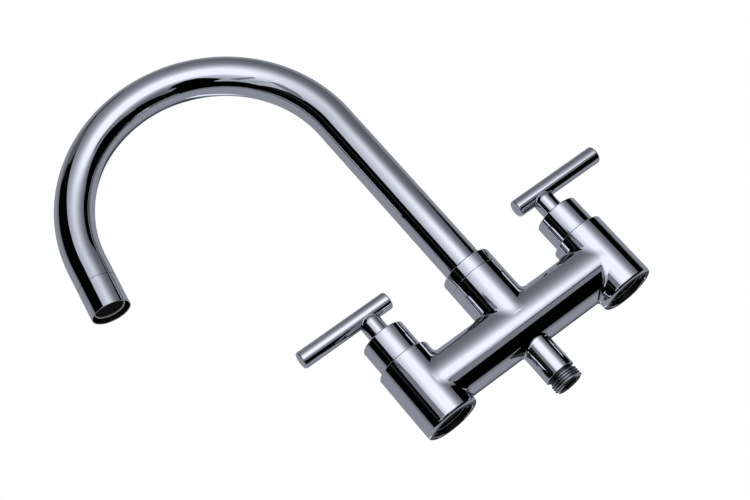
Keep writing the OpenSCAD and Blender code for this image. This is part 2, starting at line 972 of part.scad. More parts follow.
mixer_body();
outlet_nipple();
nipple_seal();
spout_nut();
slip_ring(lower_ring_z);  // lower_slip_ring
slip_ring(upper_ring_z);  // upper_slip_ring
cartridge_body(LEFT);  // left_cartridge_body
seat_seal(LEFT);  // left_seat_seal
fixed_disc(LEFT);  // left_fixed_disc
collar_o_ring(LEFT);  // left_collar_o_ring
cartridge_body(RIGHT);  // right_cartridge_body
seat_seal(RIGHT);  // right_seat_seal
fixed_disc(RIGHT);  // right_fixed_disc
collar_o_ring(RIGHT);  // right_collar_o_ring
spout_tube();
spout_spigot();
spout_o_rings();
outlet_adapter();
aerator_sleeve();
aerator_washer();
aerator_insert();
aerator_diffuser();
aerator_filter();
aerator_screen();
moving_disc(LEFT);  // left_moving_disc
spindle(LEFT);  // left_spindle
spindle_o_rings(LEFT);  // left_spindle_o_rings
retaining_clip(LEFT);  // left_retaining_clip
spline_bush(LEFT);  // left_spline_bush
handle_hub(LEFT);  // left_handle_hub
set_screw(LEFT);  // left_set_screw
handle_post(LEFT);  // left_handle_post
handle_bar(LEFT);  // left_handle_bar
moving_disc(RIGHT);  // right_moving_disc
spindle(RIGHT);  // right_spindle
spindle_o_rings(RIGHT);  // right_spindle_o_rings
retaining_clip(RIGHT);  // right_retaining_clip
spline_bush(RIGHT);  // right_spline_bush
handle_hub(RIGHT);  // right_handle_hub
set_screw(RIGHT);  // right_set_screw
handle_post(RIGHT);  // right_handle_post
handle_bar(RIGHT);  // right_handle_bar
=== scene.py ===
"""Dresses the CAD frame of a two-handle bridge mixer: turned skins, threads, finishes and studio."""

import json
import logging
import math
from dataclasses import dataclass, field
from enum import Enum

import bmesh
import bpy
import numpy as np
from mathutils import Matrix, Vector


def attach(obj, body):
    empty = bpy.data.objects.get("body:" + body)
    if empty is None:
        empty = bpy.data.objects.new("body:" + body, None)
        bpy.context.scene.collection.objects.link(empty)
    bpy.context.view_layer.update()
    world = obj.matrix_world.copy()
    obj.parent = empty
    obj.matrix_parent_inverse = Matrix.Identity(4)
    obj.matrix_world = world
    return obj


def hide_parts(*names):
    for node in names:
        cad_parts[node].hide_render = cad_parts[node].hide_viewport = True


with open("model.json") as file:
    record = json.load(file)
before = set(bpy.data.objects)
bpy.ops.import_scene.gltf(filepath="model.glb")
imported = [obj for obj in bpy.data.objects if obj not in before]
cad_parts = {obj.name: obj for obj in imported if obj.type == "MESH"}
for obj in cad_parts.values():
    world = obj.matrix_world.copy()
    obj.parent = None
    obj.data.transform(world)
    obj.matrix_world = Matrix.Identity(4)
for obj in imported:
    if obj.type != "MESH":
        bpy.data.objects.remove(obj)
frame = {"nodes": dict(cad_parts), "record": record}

LOG = logging.getLogger("mixer")
MM = 0.001
FULL_TURN = 2 * math.pi
ROUND_STEPS = 160
FAR = 1e3
TINY = 1e-12
SMALL = 1e-6

Socket = bpy.types.NodeSocket
Vert = bmesh.types.BMVert
Point = tuple[float, float]
Triple = tuple[float, float, float]
Values = dict[str | int, object]
Field = tuple[np.ndarray, np.ndarray]
Ends = dict[str, tuple[list[int], np.ndarray]]


class Side(Enum):
    """Which valve a piece belongs to, with its place along the bridge."""

    LEFT = -1
    RIGHT = 1

    @property
    def word(self) -> str:
        """The side's name as it starts the names of its pieces."""
        return self.name.lower()

    def x(self, spacing: float) -> float:
        """Where the valve's axis stands along the bridge."""
        return self.value * spacing / 2


class Pattern(Enum):
    """How a surface was made, which decides its fine detail."""

    POLISHED = "polished"
    TURNED = "turned"
    MOULDED = "moulded"
    DRAWN = "drawn"


# ---------- objects and node trees ----------


def add_object(name: str, data: bpy.types.ID) -> bpy.types.Object:
    """Makes an object and links it to the scene.

    Args:
        name: Its name.
        data: Its mesh, light or camera.

    Returns:
        The object.
    """
    made = bpy.data.objects.new(name, data)
    bpy.context.scene.collection.objects.link(made)
    return made


def evaluated_mesh(carrier: bpy.types.Object) -> bpy.types.Mesh:
    """A plain mesh of what an object's modifiers make."""
    graph = bpy.context.evaluated_depsgraph_get()
    return bpy.data.meshes.new_from_object(carrier.evaluated_get(graph), depsgraph=graph)


def shade_smooth(mesh: bpy.types.Mesh) -> None:
    """Shades every face of a mesh smooth."""
    mesh.polygons.foreach_set("use_smooth", [True] * len(mesh.polygons))


class NodeTree:
    """A node tree in the making."""

    def __init__(self, group: bpy.types.NodeTree) -> None:
        """Takes Blender's own tree, which the nodes go into."""
        self.group = group

    def fill(self, node: bpy.types.Node, values: Values) -> None:
        """Sets a node's inputs.

        Args:
            node: The node.
            values: Sockets or constants, by the input's name or number.
        """
        for key, value in values.items():
            if isinstance(value, Socket):
                self.group.links.new(value, node.inputs[key])
            else:
                node.inputs[key].default_value = value

    def add(self, kind: str, values: Values | None = None, **settings: str) -> bpy.types.Node:
        """Adds a node.

        Args:
            kind: The node's type.
            values: Sockets or constants, by the input's name or number.
            settings: The node's own properties.

        Returns:
            The node.
        """
        node = self.group.nodes.new(kind)
        for key, value in settings.items():
            setattr(node, key, value)
        self.fill(node, values or {})
        return node

    def math(self, operation: str, *terms: Socket | float) -> Socket:
        """Adds a calculation.

        Args:
            operation: The Math node's operation.
            terms: Sockets or numbers.

        Returns:
            The result's socket.
        """
        return self.add("ShaderNodeMath", dict(enumerate(terms)), operation=operation).outputs[0]


# ---------- finishes ----------


@dataclass(frozen=True)
class Finish:
    """One procedural surface finish.

    Lengths are in millimetres. The roughness wanders between two values, and the two colours
    mix in soft clouds of the given size. The noise that drives both seldom leaves its span.
    """

    name: str
    pattern: Pattern
    colour: Triple
    clouds: Triple
    metallic: float
    smooth: float
    rough: float
    cloud_size: float
    grain_size: float
    grain_depth: float
    coat: float = 0.0
    noise_span: tuple[float, float] = (0.3, 0.7)
    cloud_detail: float = 3.0
    grain_detail: float = 2.0
    ring_wander: float = 0.4
    stretch: Triple = (1, 12, 1)

    def material(self) -> bpy.types.Material:
        """Makes the finish's material once and gives it back after that.

        Returns:
            The Blender material.
        """
        made = bpy.data.materials.get(self.name)
        return made if made else self._build()

    def _build(self) -> bpy.types.Material:
        """Builds the node tree of the finish.

        Returns:
            The new material.
        """
        material = bpy.data.materials.new(self.name)
        material.use_nodes = True
        tree = NodeTree(material.node_tree)
        place = tree.add("ShaderNodeTexCoord").outputs["Object"]
        noise = {"Vector": place, "Scale": 1 / (self.cloud_size * MM), "Detail": self.cloud_detail}
        clouds = tree.add("ShaderNodeTexNoise", noise).outputs["Fac"]
        ramp = tree.add("ShaderNodeValToRGB", {"Fac": clouds})
        for stop, colour in zip(ramp.color_ramp.elements, (self.colour, self.clouds)):
            stop.color = (*colour, 1)
        low, high = self.noise_span
        levels = {"From Min": low, "From Max": high, "To Min": self.smooth, "To Max": self.rough}
        spread = tree.add("ShaderNodeMapRange", {"Value": clouds, **levels})
        relief = {"Strength": 1, "Distance": self.grain_depth * MM, "Height": self._grain(tree, place)}
        bump = tree.add("ShaderNodeBump", relief)
        tree.fill(
            tree.group.nodes["Principled BSDF"],
            {
                "Base Color": ramp.outputs["Color"],
                "Metallic": self.metallic,
                "Roughness": spread.outputs["Result"],
                "Coat Weight": self.coat,
                "Normal": bump.outputs["Normal"],
            },
        )
        return material

    def _grain(self, tree: NodeTree, place: Socket) -> Socket:
        """Adds the fine relief that the pattern asks for.

        Args:
            tree: The material's tree.
            place: The socket with the surface's coordinates.

        Returns:
            The socket with the relief's height.
        """
        scale = 1 / (self.grain_size * MM)
        if self.pattern is Pattern.TURNED:
            rings = {"Vector": place, "Scale": scale / FULL_TURN, "Distortion": self.ring_wander}
            return tree.add("ShaderNodeTexWave", rings, bands_direction="Z").outputs["Fac"]
        if self.pattern is Pattern.DRAWN:
            place = tree.add("ShaderNodeMapping", {"Vector": place, "Scale": self.stretch}).outputs["Vector"]
        grain = {"Vector": place, "Scale": scale, "Detail": self.grain_detail}
        return tree.add("ShaderNodeTexNoise", grain).outputs["Fac"]


CHROME = Finish(
    "mirror_chrome", Pattern.POLISHED, colour=(0.86, 0.885, 0.93), clouds=(0.89, 0.905, 0.935),
    metallic=1.0, smooth=0.02, rough=0.045, cloud_size=18, grain_size=6, grain_depth=0.0006,
)  # fmt: skip
THREAD_CHROME = Finish(
    "thread_chrome", Pattern.POLISHED, colour=(0.74, 0.76, 0.8), clouds=(0.84, 0.86, 0.9),
    metallic=1.0, smooth=0.05, rough=0.1, cloud_size=2, grain_size=0.4, grain_depth=0.002,
)  # fmt: skip
BRASS = Finish(
    "machined_brass", Pattern.TURNED, colour=(0.72, 0.52, 0.2), clouds=(0.78, 0.6, 0.28),
    metallic=1.0, smooth=0.2, rough=0.34, cloud_size=3, grain_size=0.25, grain_depth=0.01,
)  # fmt: skip
STEEL = Finish(
    "drawn_steel", Pattern.DRAWN, colour=(0.46, 0.47, 0.48), clouds=(0.56, 0.57, 0.58),
    metallic=1.0, smooth=0.22, rough=0.36, cloud_size=2, grain_size=0.3, grain_depth=0.006,
)  # fmt: skip
# Near-black metal on the insides of bores, recesses and thread roots: painted shade where little light reaches.
SHADED_BORE = Finish(
    "dull_bore", Pattern.TURNED, colour=(0.06, 0.059, 0.055), clouds=(0.1, 0.098, 0.09),
    metallic=1.0, smooth=0.22, rough=0.36, cloud_size=3, grain_size=0.5, grain_depth=0.004,
)  # fmt: skip
# Dim metal for the inlet threads: painted shade inside the inlets.
SHADED_THREAD = Finish(
    "dull_thread", Pattern.POLISHED, colour=(0.3, 0.295, 0.28), clouds=(0.42, 0.415, 0.395),
    metallic=1.0, smooth=0.14, rough=0.24, cloud_size=2, grain_size=0.4, grain_depth=0.002,
)  # fmt: skip
# Near-black metal for the outlet screen: painted shade inside the aerator's mouth.
SHADED_SCREEN = Finish(
    "dull_screen", Pattern.DRAWN, colour=(0.018, 0.018, 0.017), clouds=(0.034, 0.034, 0.032),
    metallic=1.0, smooth=0.4, rough=0.6, cloud_size=1.5, grain_size=0.2, grain_depth=0.005,
)  # fmt: skip
RUBBER = Finish(
    "black_rubber", Pattern.MOULDED, colour=(0.012, 0.012, 0.013), clouds=(0.03, 0.03, 0.032),
    metallic=0.0, smooth=0.5, rough=0.7, cloud_size=2, grain_size=0.2, grain_depth=0.02,
)  # fmt: skip
PLASTIC = Finish(
    "white_acetal", Pattern.MOULDED, colour=(0.72, 0.72, 0.7), clouds=(0.8, 0.8, 0.78),
    metallic=0.0, smooth=0.35, rough=0.5, cloud_size=4, grain_size=0.3, grain_depth=0.01,
)  # fmt: skip
GREY_PLASTIC = Finish(
    "grey_acetal", Pattern.MOULDED, colour=(0.3, 0.305, 0.31), clouds=(0.4, 0.405, 0.41),
    metallic=0.0, smooth=0.28, rough=0.42, cloud_size=4, grain_size=0.3, grain_depth=0.01,
)  # fmt: skip
CERAMIC = Finish(
    "lapped_ceramic", Pattern.POLISHED, colour=(0.82, 0.8, 0.74), clouds=(0.88, 0.87, 0.83),
    metallic=0.0, smooth=0.08, rough=0.16, cloud_size=5, grain_size=0.5, grain_depth=0.002, coat=0.4,
)  # fmt: skip
FLOOR = Finish(
    "pale_floor", Pattern.MOULDED, colour=(0.9, 0.9, 0.9), clouds=(0.93, 0.93, 0.93),
    metallic=0, smooth=0.7, rough=0.85, cloud_size=200, grain_size=3, grain_depth=0.02,
)  # fmt: skip

SLOT_FINISHES = {
    "chrome": CHROME, "brass": BRASS, "steel": STEEL,
    "rubber": RUBBER, "plastic": PLASTIC, "ceramic": CERAMIC,
}  # fmt: skip


# ---------- turned outlines and skins ----------


@dataclass
class Outline:
    """A turned outline in the half plane of radius and height, in millimetres.

    It is drawn with the material on the left of the pen. Each span keeps the exact normals of
    its two ends, so that a mirror finish shows no facets.
    """

    points: list[Point] = field(default_factory=list)
    spans: list[tuple[Point, Point]] = field(default_factory=list)

    def line(self, *stops: Point) -> "Outline":
        """Draws straight on through the stops.

        Args:
            stops: Points as (radius, height). The first one ever drawn only sets the pen down, and
                one where the pen already stands adds nothing.

        Returns:
            The outline itself.
        """
        for stop in stops:
            if self.points:
                if np.allclose(stop, self.points[-1]):
                    continue
                run = np.subtract(stop, self.points[-1])
                away = (run[1], -run[0]) / np.linalg.norm(run)
                self.spans.append((tuple(away), tuple(away)))
            self.points.append(tuple(stop))
        return self

    def corner(self, at: Point, toward: Point, radius: float, steps: int = 8) -> "Outline":
        """Draws up to a square corner and round it.

        Args:
            at: The corner as it would be if it were sharp.
            toward: A point on the line that follows it.
            radius: The radius of its arc.
            steps: The number of spans in the arc.

        Returns:
            The outline itself.
        """
        back, ahead = (np.sign(np.subtract(end, at)) * radius for end in (self.points[-1], toward))
        self.line(tuple(at + back))
        centre = at + back + ahead
        first = math.atan2(-ahead[1], -ahead[0])
        sweep = math.remainder(math.atan2(-back[1], -back[0]) - first, FULL_TURN)
        outward = math.copysign(1, sweep)
        for step in range(1, steps + 1):
            ends = (first + sweep * (step - 1) / steps, first + sweep * step / steps)
            self.spans.append(tuple((outward * math.cos(a), outward * math.sin(a)) for a in ends))
            self.points.append(tuple(centre + (radius * math.cos(ends[1]), radius * math.sin(ends[1]))))
        self.points[-1] = tuple(at + ahead)
        return self


@dataclass
class Skin:
    """A mesh in the making, in millimetres, in which each face keeps its own corner normals.

    Faces added while `inside` is set take the piece's inner finish, the near-black metal that paints the shade
    inside bores, recesses and thread roots.
    """

    points: list[Triple] = field(default_factory=list)
    faces: list[tuple[int, ...]] = field(default_factory=list)
    normals: list[Triple] = field(default_factory=list)
    layers: list[int] = field(default_factory=list)
    inside: bool = False

    def add_points(self, points: np.ndarray) -> list[int]:
        """Adds points.

        Args:
            points: An array with one point a row.

        Returns:
            Their numbers in the mesh.
        """
        first = len(self.points)
        self.points.extend(map(tuple, points))
        return list(range(first, len(self.points)))

    def ring(self, radii: float | np.ndarray, height: float, angles: np.ndarray, place: Matrix) -> list[int]:
        """Adds a level ring of points. On the axis it's one point, counted once for each angle.

        Args:
            radii: The ring's radius, or one for each angle.
            height: Its height.
            angles: The angles of its points.
            place: Takes the ring's frame to the object's.

        Returns:
            The points' numbers in the mesh.
        """
        turn, shift = np.array(place.to_3x3()), np.array(place.translation)
        level = np.full(len(angles), height)
        flat = np.column_stack([np.cos(angles) * radii, np.sin(angles) * radii, level])
        if np.max(radii) < SMALL:
            return self.add_points(flat[:1] @ turn.T + shift) * len(angles)
        return self.add_points(flat @ turn.T + shift)

    def add_face(self, corners: tuple[int, ...], normals: list[np.ndarray] | None = None) -> None:
        """Adds a face, flat if no normals are given.

        Args:
            corners: The numbers of its corners.
            normals: A normal for each corner.
        """
        if len(set(corners)) < 3:
            return
        if normals is None:
            at = [np.array(self.points[c]) for c in corners]
            flat = sum((np.cross(a, b) for a, b in zip(at, at[1:] + at[:1])), np.zeros(3))
            normals = [flat / max(np.linalg.norm(flat), TINY)] * len(corners)
        kept = [i for i, c in enumerate(corners) if c != corners[i - 1]]
        self.faces.append(tuple(corners[i] for i in kept))
        self.layers.append(int(self.inside))
        self.normals.extend(tuple(normals[i]) for i in kept)

    def bridge(self, low: list[int], high: list[int]) -> None:
        """Joins two rings of equal count with flat faces.

        Args:
            low: The first ring.
            high: The ring that follows it along the outline.
        """
        for i in range(len(low)):
            k = (i + 1) % len(low)
            self.add_face((low[i], low[k], high[k], high[i]))

    def hexagon(
        self, start: list[int], across_flats: float, heights: Point, angles: np.ndarray, place: Matrix
    ) -> list[int]:
        """Carries on from a ring with a hexagonal bore.

        Args:
            start: The ring.
            across_flats: The hexagon's width over its flats.
            heights: Where the bore starts and ends.
            angles: The angles of the ring's points.
            place: Takes the bore's frame to the object's.

        Returns:
            The bore's last ring.
        """
        sixth = FULL_TURN / 6
        flats = across_flats / 2 / np.cos((angles + sixth / 2) % sixth - sixth / 2)
        for height in heights:
            following = self.ring(flats, height, angles, place)
            self.bridge(start, following)
            start = following
        return start

    def zip_rings(self, inner: list[int], outer: list[int], centre: Point, up: float) -> None:
        """Fills the flat ring between two level rings with different counts.

        Args:
            inner: The inner ring, in order of angle.
            outer: The outer ring, in order of angle.
            centre: The rings' centre in x and y.
            up: 1 if the face looks up and -1 if it looks down.
        """

        def bearings(ring: list[int]) -> list[float]:
            """The bearing of each point of a ring, growing by one turn in all."""
            found = [math.atan2(self.points[i][1] - centre[1], self.points[i][0] - centre[0]) for i in ring]
            return list(np.unwrap(found + [found[0] + FULL_TURN]))

        inner_at, outer_at = bearings(inner), bearings(outer)
        lag = round((inner_at[0] - outer_at[0]) / FULL_TURN) * FULL_TURN
        inner_at = [a - lag for a in inner_at]
        i = k = 0
        while i < len(inner) or k < len(outer):
            a, b = inner[i % len(inner)], outer[k % len(outer)]
            step_out = i == len(inner) or (k < len(outer) and outer_at[k + 1] <= inner_at[i + 1])
            if step_out:
                k += 1
                corners = (a, b, outer[k % len(outer)])
            else:
                i += 1
                corners = (a, b, inner[i % len(inner)])
            self.add_face(corners if up > 0 else corners[::-1], [np.array((0, 0, up))] * len(corners))

    def revolve(
        self,
        outline: Outline,
        angles: np.ndarray,
        place: Matrix,
        first: list[int] | None = None,
        last: list[int] | None = None,
    ) -> tuple[list[int], list[int]]:
        """Turns an outline about its own height axis.

        Args:
            outline: The outline.
            angles: The angles of its copies, growing.
            place: Takes the outline's own frame to the object's.
            first: An existing ring to start from, if there is one.
            last: An existing ring to end on, if there is one.

        Returns:
            The first ring and the last ring.
        """
        turn = np.array(place.to_3x3())
        around = np.stack([np.cos(angles), np.sin(angles)], 1)
        rings = []
        for number, (radius, height) in enumerate(outline.points):
            given = first if number == 0 else last if number == len(outline.points) - 1 else None
            rings.append(self.ring(radius, height, angles, place) if given is None else given)
        level = np.ones(len(angles))
        for low, high, ends in zip(rings, rings[1:], outline.spans):
            away = [np.column_stack([around * out, level * rise]) @ turn.T for out, rise in ends]
            for i in range(len(angles)):
                k = (i + 1) % len(angles)
                corners = (low[i], low[k], high[k], high[i])
                self.add_face(corners, [away[0][i], away[0][k], away[1][k], away[1][i]])
        return rings[0], rings[-1]

    def piece(self, name: str, finish: Finish, inner: Finish | None = None) -> bpy.types.Object:
        """Makes the mesh object.

        Args:
            name: The piece's name.
            finish: Its finish.
            inner: The finish of its inner faces, if they have their own; this is the painted shade of bores and
                recesses.

        Returns:
            The object, at the origin, in metres.
        """
        mesh = bpy.data.meshes.new(name)
        mesh.from_pydata([tuple(c * MM for c in p) for p in self.points], [], self.faces)
        shade_smooth(mesh)
        mesh.normals_split_custom_set(self.normals)
        mesh.materials.append(finish.material())
        if inner:
            mesh.materials.append(inner.material())
            mesh.polygons.foreach_set("material_index", self.layers)
        return add_object(name, mesh)


def even_angles(count: int) -> np.ndarray:
    """Angles of a full turn in equal steps."""
    return np.arange(count) * FULL_TURN / count


def turned_piece(
    name: str, outline: Outline, place: Matrix, finish: Finish, count: int = ROUND_STEPS
) -> bpy.types.Object:
    """Makes a piece from one turned outline.

    Args:
        name: The piece's name.
        outline: The outline, closed or from axis to axis.
        place: Takes the outline's own frame to the object's.
        finish: The piece's finish.
        count: The number of steps around.

    Returns:
        The object.
    """
    skin, angles = Skin(), even_angles(count)
    start = outline.points[0]
    closed = np.allclose(start, outline.points[-1]) and start[0] > SMALL
    seam = skin.ring(*start, angles, place) if closed else None
    skin.revolve(outline, angles, place, seam, seam)
    return skin.piece(name, finish)


def fit_in(piece: bpy.types.Object, body: str, slot: str, *nodes: str) -> None:
    """Sets a finished piece on its body and in place of its CAD nodes.

    Args:
        piece: The piece.
        body: The CAD body that carries it.
        slot: The record's material slot; not used.
        nodes: The CAD nodes that it stands for.
    """
    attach(piece, body)
    if nodes:
        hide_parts(*nodes)
    LOG.info("%s: %d faces on %s", piece.name, len(piece.data.polygons), body)


# ---------- Geometry Nodes ----------


class Tree(NodeTree):
    """A Geometry Nodes tree with named inputs, applied to a new object as a plain mesh."""

    def __init__(self, name: str, sizes: dict[str, float | int]) -> None:
        """Starts the tree.

        Args:
            name: The tree's name.
            sizes: The inputs by name. Whole numbers become integer inputs.
        """
        super().__init__(bpy.data.node_groups.new(name, "GeometryNodeTree"))
        self.sizes = sizes
        face = self.group.interface
        face.new_socket("Geometry", in_out="OUTPUT", socket_type="NodeSocketGeometry")
        for key, value in sizes.items():
            kind = "NodeSocketInt" if isinstance(value, int) else "NodeSocketFloat"
            face.new_socket(key, in_out="INPUT", socket_type=kind)
        face.new_socket("Finish", in_out="INPUT", socket_type="NodeSocketMaterial")
        self.source, self.sink = self.add("NodeGroupInput"), self.add("NodeGroupOutput")

    def size(self, key: str) -> Socket:
        """The socket of a named input."""
        return self.source.outputs[key]

    def make(self, kind: str, values: Values | None = None, **settings: str) -> Socket:
        """Adds a Geometry Nodes node.

        Args:
            kind: The node's type without its first part, such as "MeshLine".
            values: Sockets or constants, by the input's name or number.
            settings: The node's own properties.

        Returns:
            The node's first output.
        """
        return self.add(f"GeometryNode{kind}", values, **settings).outputs[0]

    def vector(self, x: Socket | float = 0.0, y: Socket | float = 0.0, z: Socket | float = 0.0) -> Socket:
        """Joins three sockets or numbers to a vector socket."""
        return self.add("ShaderNodeCombineXYZ", {"X": x, "Y": y, "Z": z}).outputs[0]

    def join(self, *parts: Socket) -> Socket:
        """Joins geometries."""
        node = self.add("GeometryNodeJoinGeometry")
        for part in parts:
            self.fill(node, {0: part})
        return node.outputs[0]

    def mesh_object(self, name: str, shape: Socket, finish: Finish, place: Matrix) -> bpy.types.Object:
        """Ends the tree, runs it and keeps its result as a plain mesh.

        Args:
            name: The piece's name.
            shape: The socket with the finished geometry, in metres.
            finish: The piece's finish.
            place: Takes the tree's frame to the object's, with its shift in millimetres.

        Returns:
            The object, at the origin.
        """
        dress = {"Geometry": self.make("RealizeInstances", {0: shape}), "Material": self.size("Finish")}
        self.fill(self.sink, {0: self.make("SetMaterial", dress)})
        carrier = add_object(name, bpy.data.meshes.new(name))
        modifier = carrier.modifiers.new("shape", "NODES")
        modifier.node_group = self.group
        values = {**self.sizes, "Finish": finish.material()}
        for item in self.group.interface.items_tree:
            if item.in_out == "INPUT":
                modifier[item.identifier] = values[item.name]
        mesh = evaluated_mesh(carrier)
        carrier.modifiers.remove(modifier)
        metres = place.copy()
        metres.translation = place.translation * MM
        mesh.transform(metres)
        mesh.name = name
        carrier.data = mesh
        return carrier


@dataclass(frozen=True)
class PipeThread:
    """A single-start pipe thread, as one ridge that winds up a bore or a shank.

    Lengths are in millimetres. A crest smaller than the root makes an inner thread. The ridge
    sinks a little into its root and thins out over its first and last part of a turn.
    """

    root_r: float
    crest_r: float
    pitch: float
    length: float
    crest_share: float = 0.2
    root_share: float = 0.86
    sink: float = 0.15
    taper_turns: float = 0.45
    taper_share: float = 0.05
    crest_round: float = 0.2
    crest_steps: int = 3
    steps_a_turn: int = 72
    sharp_degrees: float = 35.0
    finish: Finish = THREAD_CHROME

    def piece(self, name: str, place: Matrix) -> bpy.types.Object:
        """Winds the ridge.

        Args:
            name: The piece's name.
            place: Takes the thread's frame, with its start at height 0, to the object's.

        Returns:
            The object.
        """
        turns = self.length / self.pitch - self.root_share
        depth = abs(self.crest_r - self.root_r)
        tree = Tree(
            "pipe_thread",
            {
                "Root radius": self.root_r * MM,
                "Turns": turns,
                "Rise": turns * self.pitch * MM,
                "Root width": self.pitch * self.root_share * MM,
                "Crest width": self.pitch * self.crest_share * MM,
                "Depth": (depth + self.sink) * MM,
                "Centre": (depth - self.sink) / 2 * MM,
                "Taper": self.taper_turns / turns,
                "Crest rounding": self.crest_round * MM,
                "Steps a turn": self.steps_a_turn,
            },
        )
        path = tree.make(
            "CurveSpiral",
            {
                "Resolution": tree.size("Steps a turn"),
                "Rotations": tree.size("Turns"),
                "Start Radius": tree.size("Root radius"),
                "End Radius": tree.size("Root radius"),
                "Height": tree.size("Rise"),
            },
        )
        upright = tree.make("SetCurveNormal", {"Curve": path}, mode="Z_UP")
        along = tree.make("SplineParameter")
        from_end = tree.math("MINIMUM", along, tree.math("SUBTRACT", 1.0, along))
        span = {"Value": from_end, "From Max": tree.size("Taper"), "To Min": self.taper_share}
        fade = tree.add("ShaderNodeMapRange", span, interpolation_type="SMOOTHSTEP").outputs[0]
        shrinking = tree.make("SetCurveRadius", {"Curve": upright, "Radius": fade})
        profile = {
            "Height": tree.size("Depth"),
            "Bottom Width": tree.size("Root width"),
            "Top Width": tree.size("Crest width"),
            "Offset": 0.0,
        }
        ridge = tree.make("CurvePrimitiveQuadrilateral", profile, mode="TRAPEZOID")
        rounding = {"Curve": ridge, "Count": self.crest_steps, "Radius": tree.size("Crest rounding")}
        soft = tree.make("FilletCurve", rounding, mode="POLY")
        toward = 1 if self.crest_r < self.root_r else -1
        aim = {
            "Geometry": soft,
            "Translation": tree.vector(tree.math("MULTIPLY", tree.size("Centre"), float(toward))),
            "Rotation": (0, 0, -toward * math.pi / 2),
        }
        sweep = {"Curve": shrinking, "Profile Curve": tree.make("Transform", aim), "Fill Caps": True}
        lift = {
            "Geometry": tree.make("CurveToMesh", sweep),
            "Translation": (0, 0, self.pitch * self.root_share / 2 * MM),
        }
        made = tree.mesh_object(name, tree.make("Transform", lift), self.finish, place)
        face_outward(made, self.sharp_degrees)
        return made


def face_outward(piece: bpy.types.Object, sharp_degrees: float, weld: float = 1e-7) -> None:
    """Turns a closed mesh's faces outward and shades it smooth up to an angle.

    Args:
        piece: The piece.
        sharp_degrees: Edges sharper than this stay sharp.
        weld: Points closer than this, in metres, become one.
    """
    work = bmesh.new()
    work.from_mesh(piece.data)
    bmesh.ops.remove_doubles(work, verts=work.verts, dist=weld)
    bmesh.ops.recalc_face_normals(work, faces=work.faces)
    work.to_mesh(piece.data)
    work.free()
    shade_smooth(piece.data)
    piece.data.set_sharp_from_angle(angle=math.radians(sharp_degrees))


# ---------- casting ----------


@dataclass(frozen=True)
class Rod:
    """A round bar as a distance field, in millimetres, with ends that sink into its neighbours."""

    origin: Triple
    axis: Triple
    radius: float
    low: float = -FAR
    high: float = FAR
    ease: float = 3.6
    sink: float = 3.5

    def reach(self, at: np.ndarray) -> Field:
        """Measures how far points lie outside the bar.

        Args:
            at: Points, one a row.

        Returns:
            The distances, and the directions in which they grow.
        """
        axis = np.array(self.axis, float)
        offset = at - self.origin
        along = offset @ axis
        out = offset - along[:, None] * axis
        radius = np.maximum(np.linalg.norm(out, axis=1), TINY)
        inside = np.minimum(along - self.low, self.high - along)
        sunk = self.sink * np.clip(1 - inside / self.ease, 0, 1) ** 2
        return np.where(inside < 0, FAR, radius - self.radius + sunk), out / radius[:, None]


def blend(one: Field, other: Field, width: float, shallow_width: float, least: float = 1e-4) -> Field:
    """Joins two distance fields with a buffed fillet.

    Args:
        one: Distances and directions of the first.
        other: Those of the second.
        width: How far the fillet reaches from the corner where the two meet squarely.
        shallow_width: How far it reaches where they nearly run on into each other.
        least: The least reach of a fillet.

    Returns:
        Distances and directions of the joined shape.
    """
    (d1, n1), (d2, n2) = one, other
    square = np.sqrt(np.maximum(1 - (n1 * n2).sum(1) ** 2, SMALL))
    reach = np.maximum(square * (shallow_width + (width - shallow_width) * square), least)
    share = np.clip(0.5 + (d2 - d1) / (2 * reach), 0, 1)
    near = np.maximum(reach - np.abs(d1 - d2), 0) / reach
    mixed = share[:, None] * n1 + (1 - share)[:, None] * n2
    mixed /= np.maximum(np.linalg.norm(mixed, axis=1), TINY)[:, None]
    return np.minimum(d1, d2) - near * near * reach / 4, mixed


@dataclass(frozen=True)
class Cut:
    """A level end of the casting's outer skin, where a turned outline takes over."""

    centre: Point
    radius: float
    height: float
    opens_up: bool
    margin: float = 2.0
    depth: float = 3.0

    @property
    def up(self) -> int:
        """1 if the end looks up and -1 if it looks down."""
        return 1 if self.opens_up else -1

    def holds(self, at: Vector) -> bool:
        """Whether a point lies in the round column that the cut trims."""
        return math.dist(at[:2], self.centre) < self.radius + self.margin

    def trim(self, work: bmesh.types.BMesh) -> None:
        """Cuts a mesh off at the end.

        Args:
            work: The mesh, in millimetres.
        """
        near = set()
        for face in work.faces:
            at = face.calc_center_median()
            if self.holds(at) and self.up * (at.z - self.height) > -self.depth:
                near.add(face)
        edges, verts = {e for f in near for e in f.edges}, {v for f in near for v in f.verts}
        bmesh.ops.bisect_plane(
            work,
            geom=list(edges | verts | near),
            dist=1e-4,
            plane_co=(0, 0, self.height),
            plane_no=(0, 0, self.up),
            clear_outer=True,
        )

    def rounded_ring(self, rim: set[Vert], level: float = 1e-2) -> dict[Vert, float]:
        """Finds the end's ring of points and sets them on its exact circle.

        Args:
            rim: All points on the mesh's open edges.
            level: How far from the end's height its points may lie.

        Returns:
            The points in order, with their angles.
        """
        (x, y), ring = self.centre, {}
        for vert in rim:
            if abs(vert.co.z - self.height) < level and self.holds(vert.co):
                ring[vert] = math.atan2(vert.co.y - y, vert.co.x - x)
        for vert, angle in ring.items():
            vert.co = (x + self.radius * math.cos(angle), y + self.radius * math.sin(angle), self.height)
        return dict(sorted(ring.items(), key=lambda entry: entry[1]))


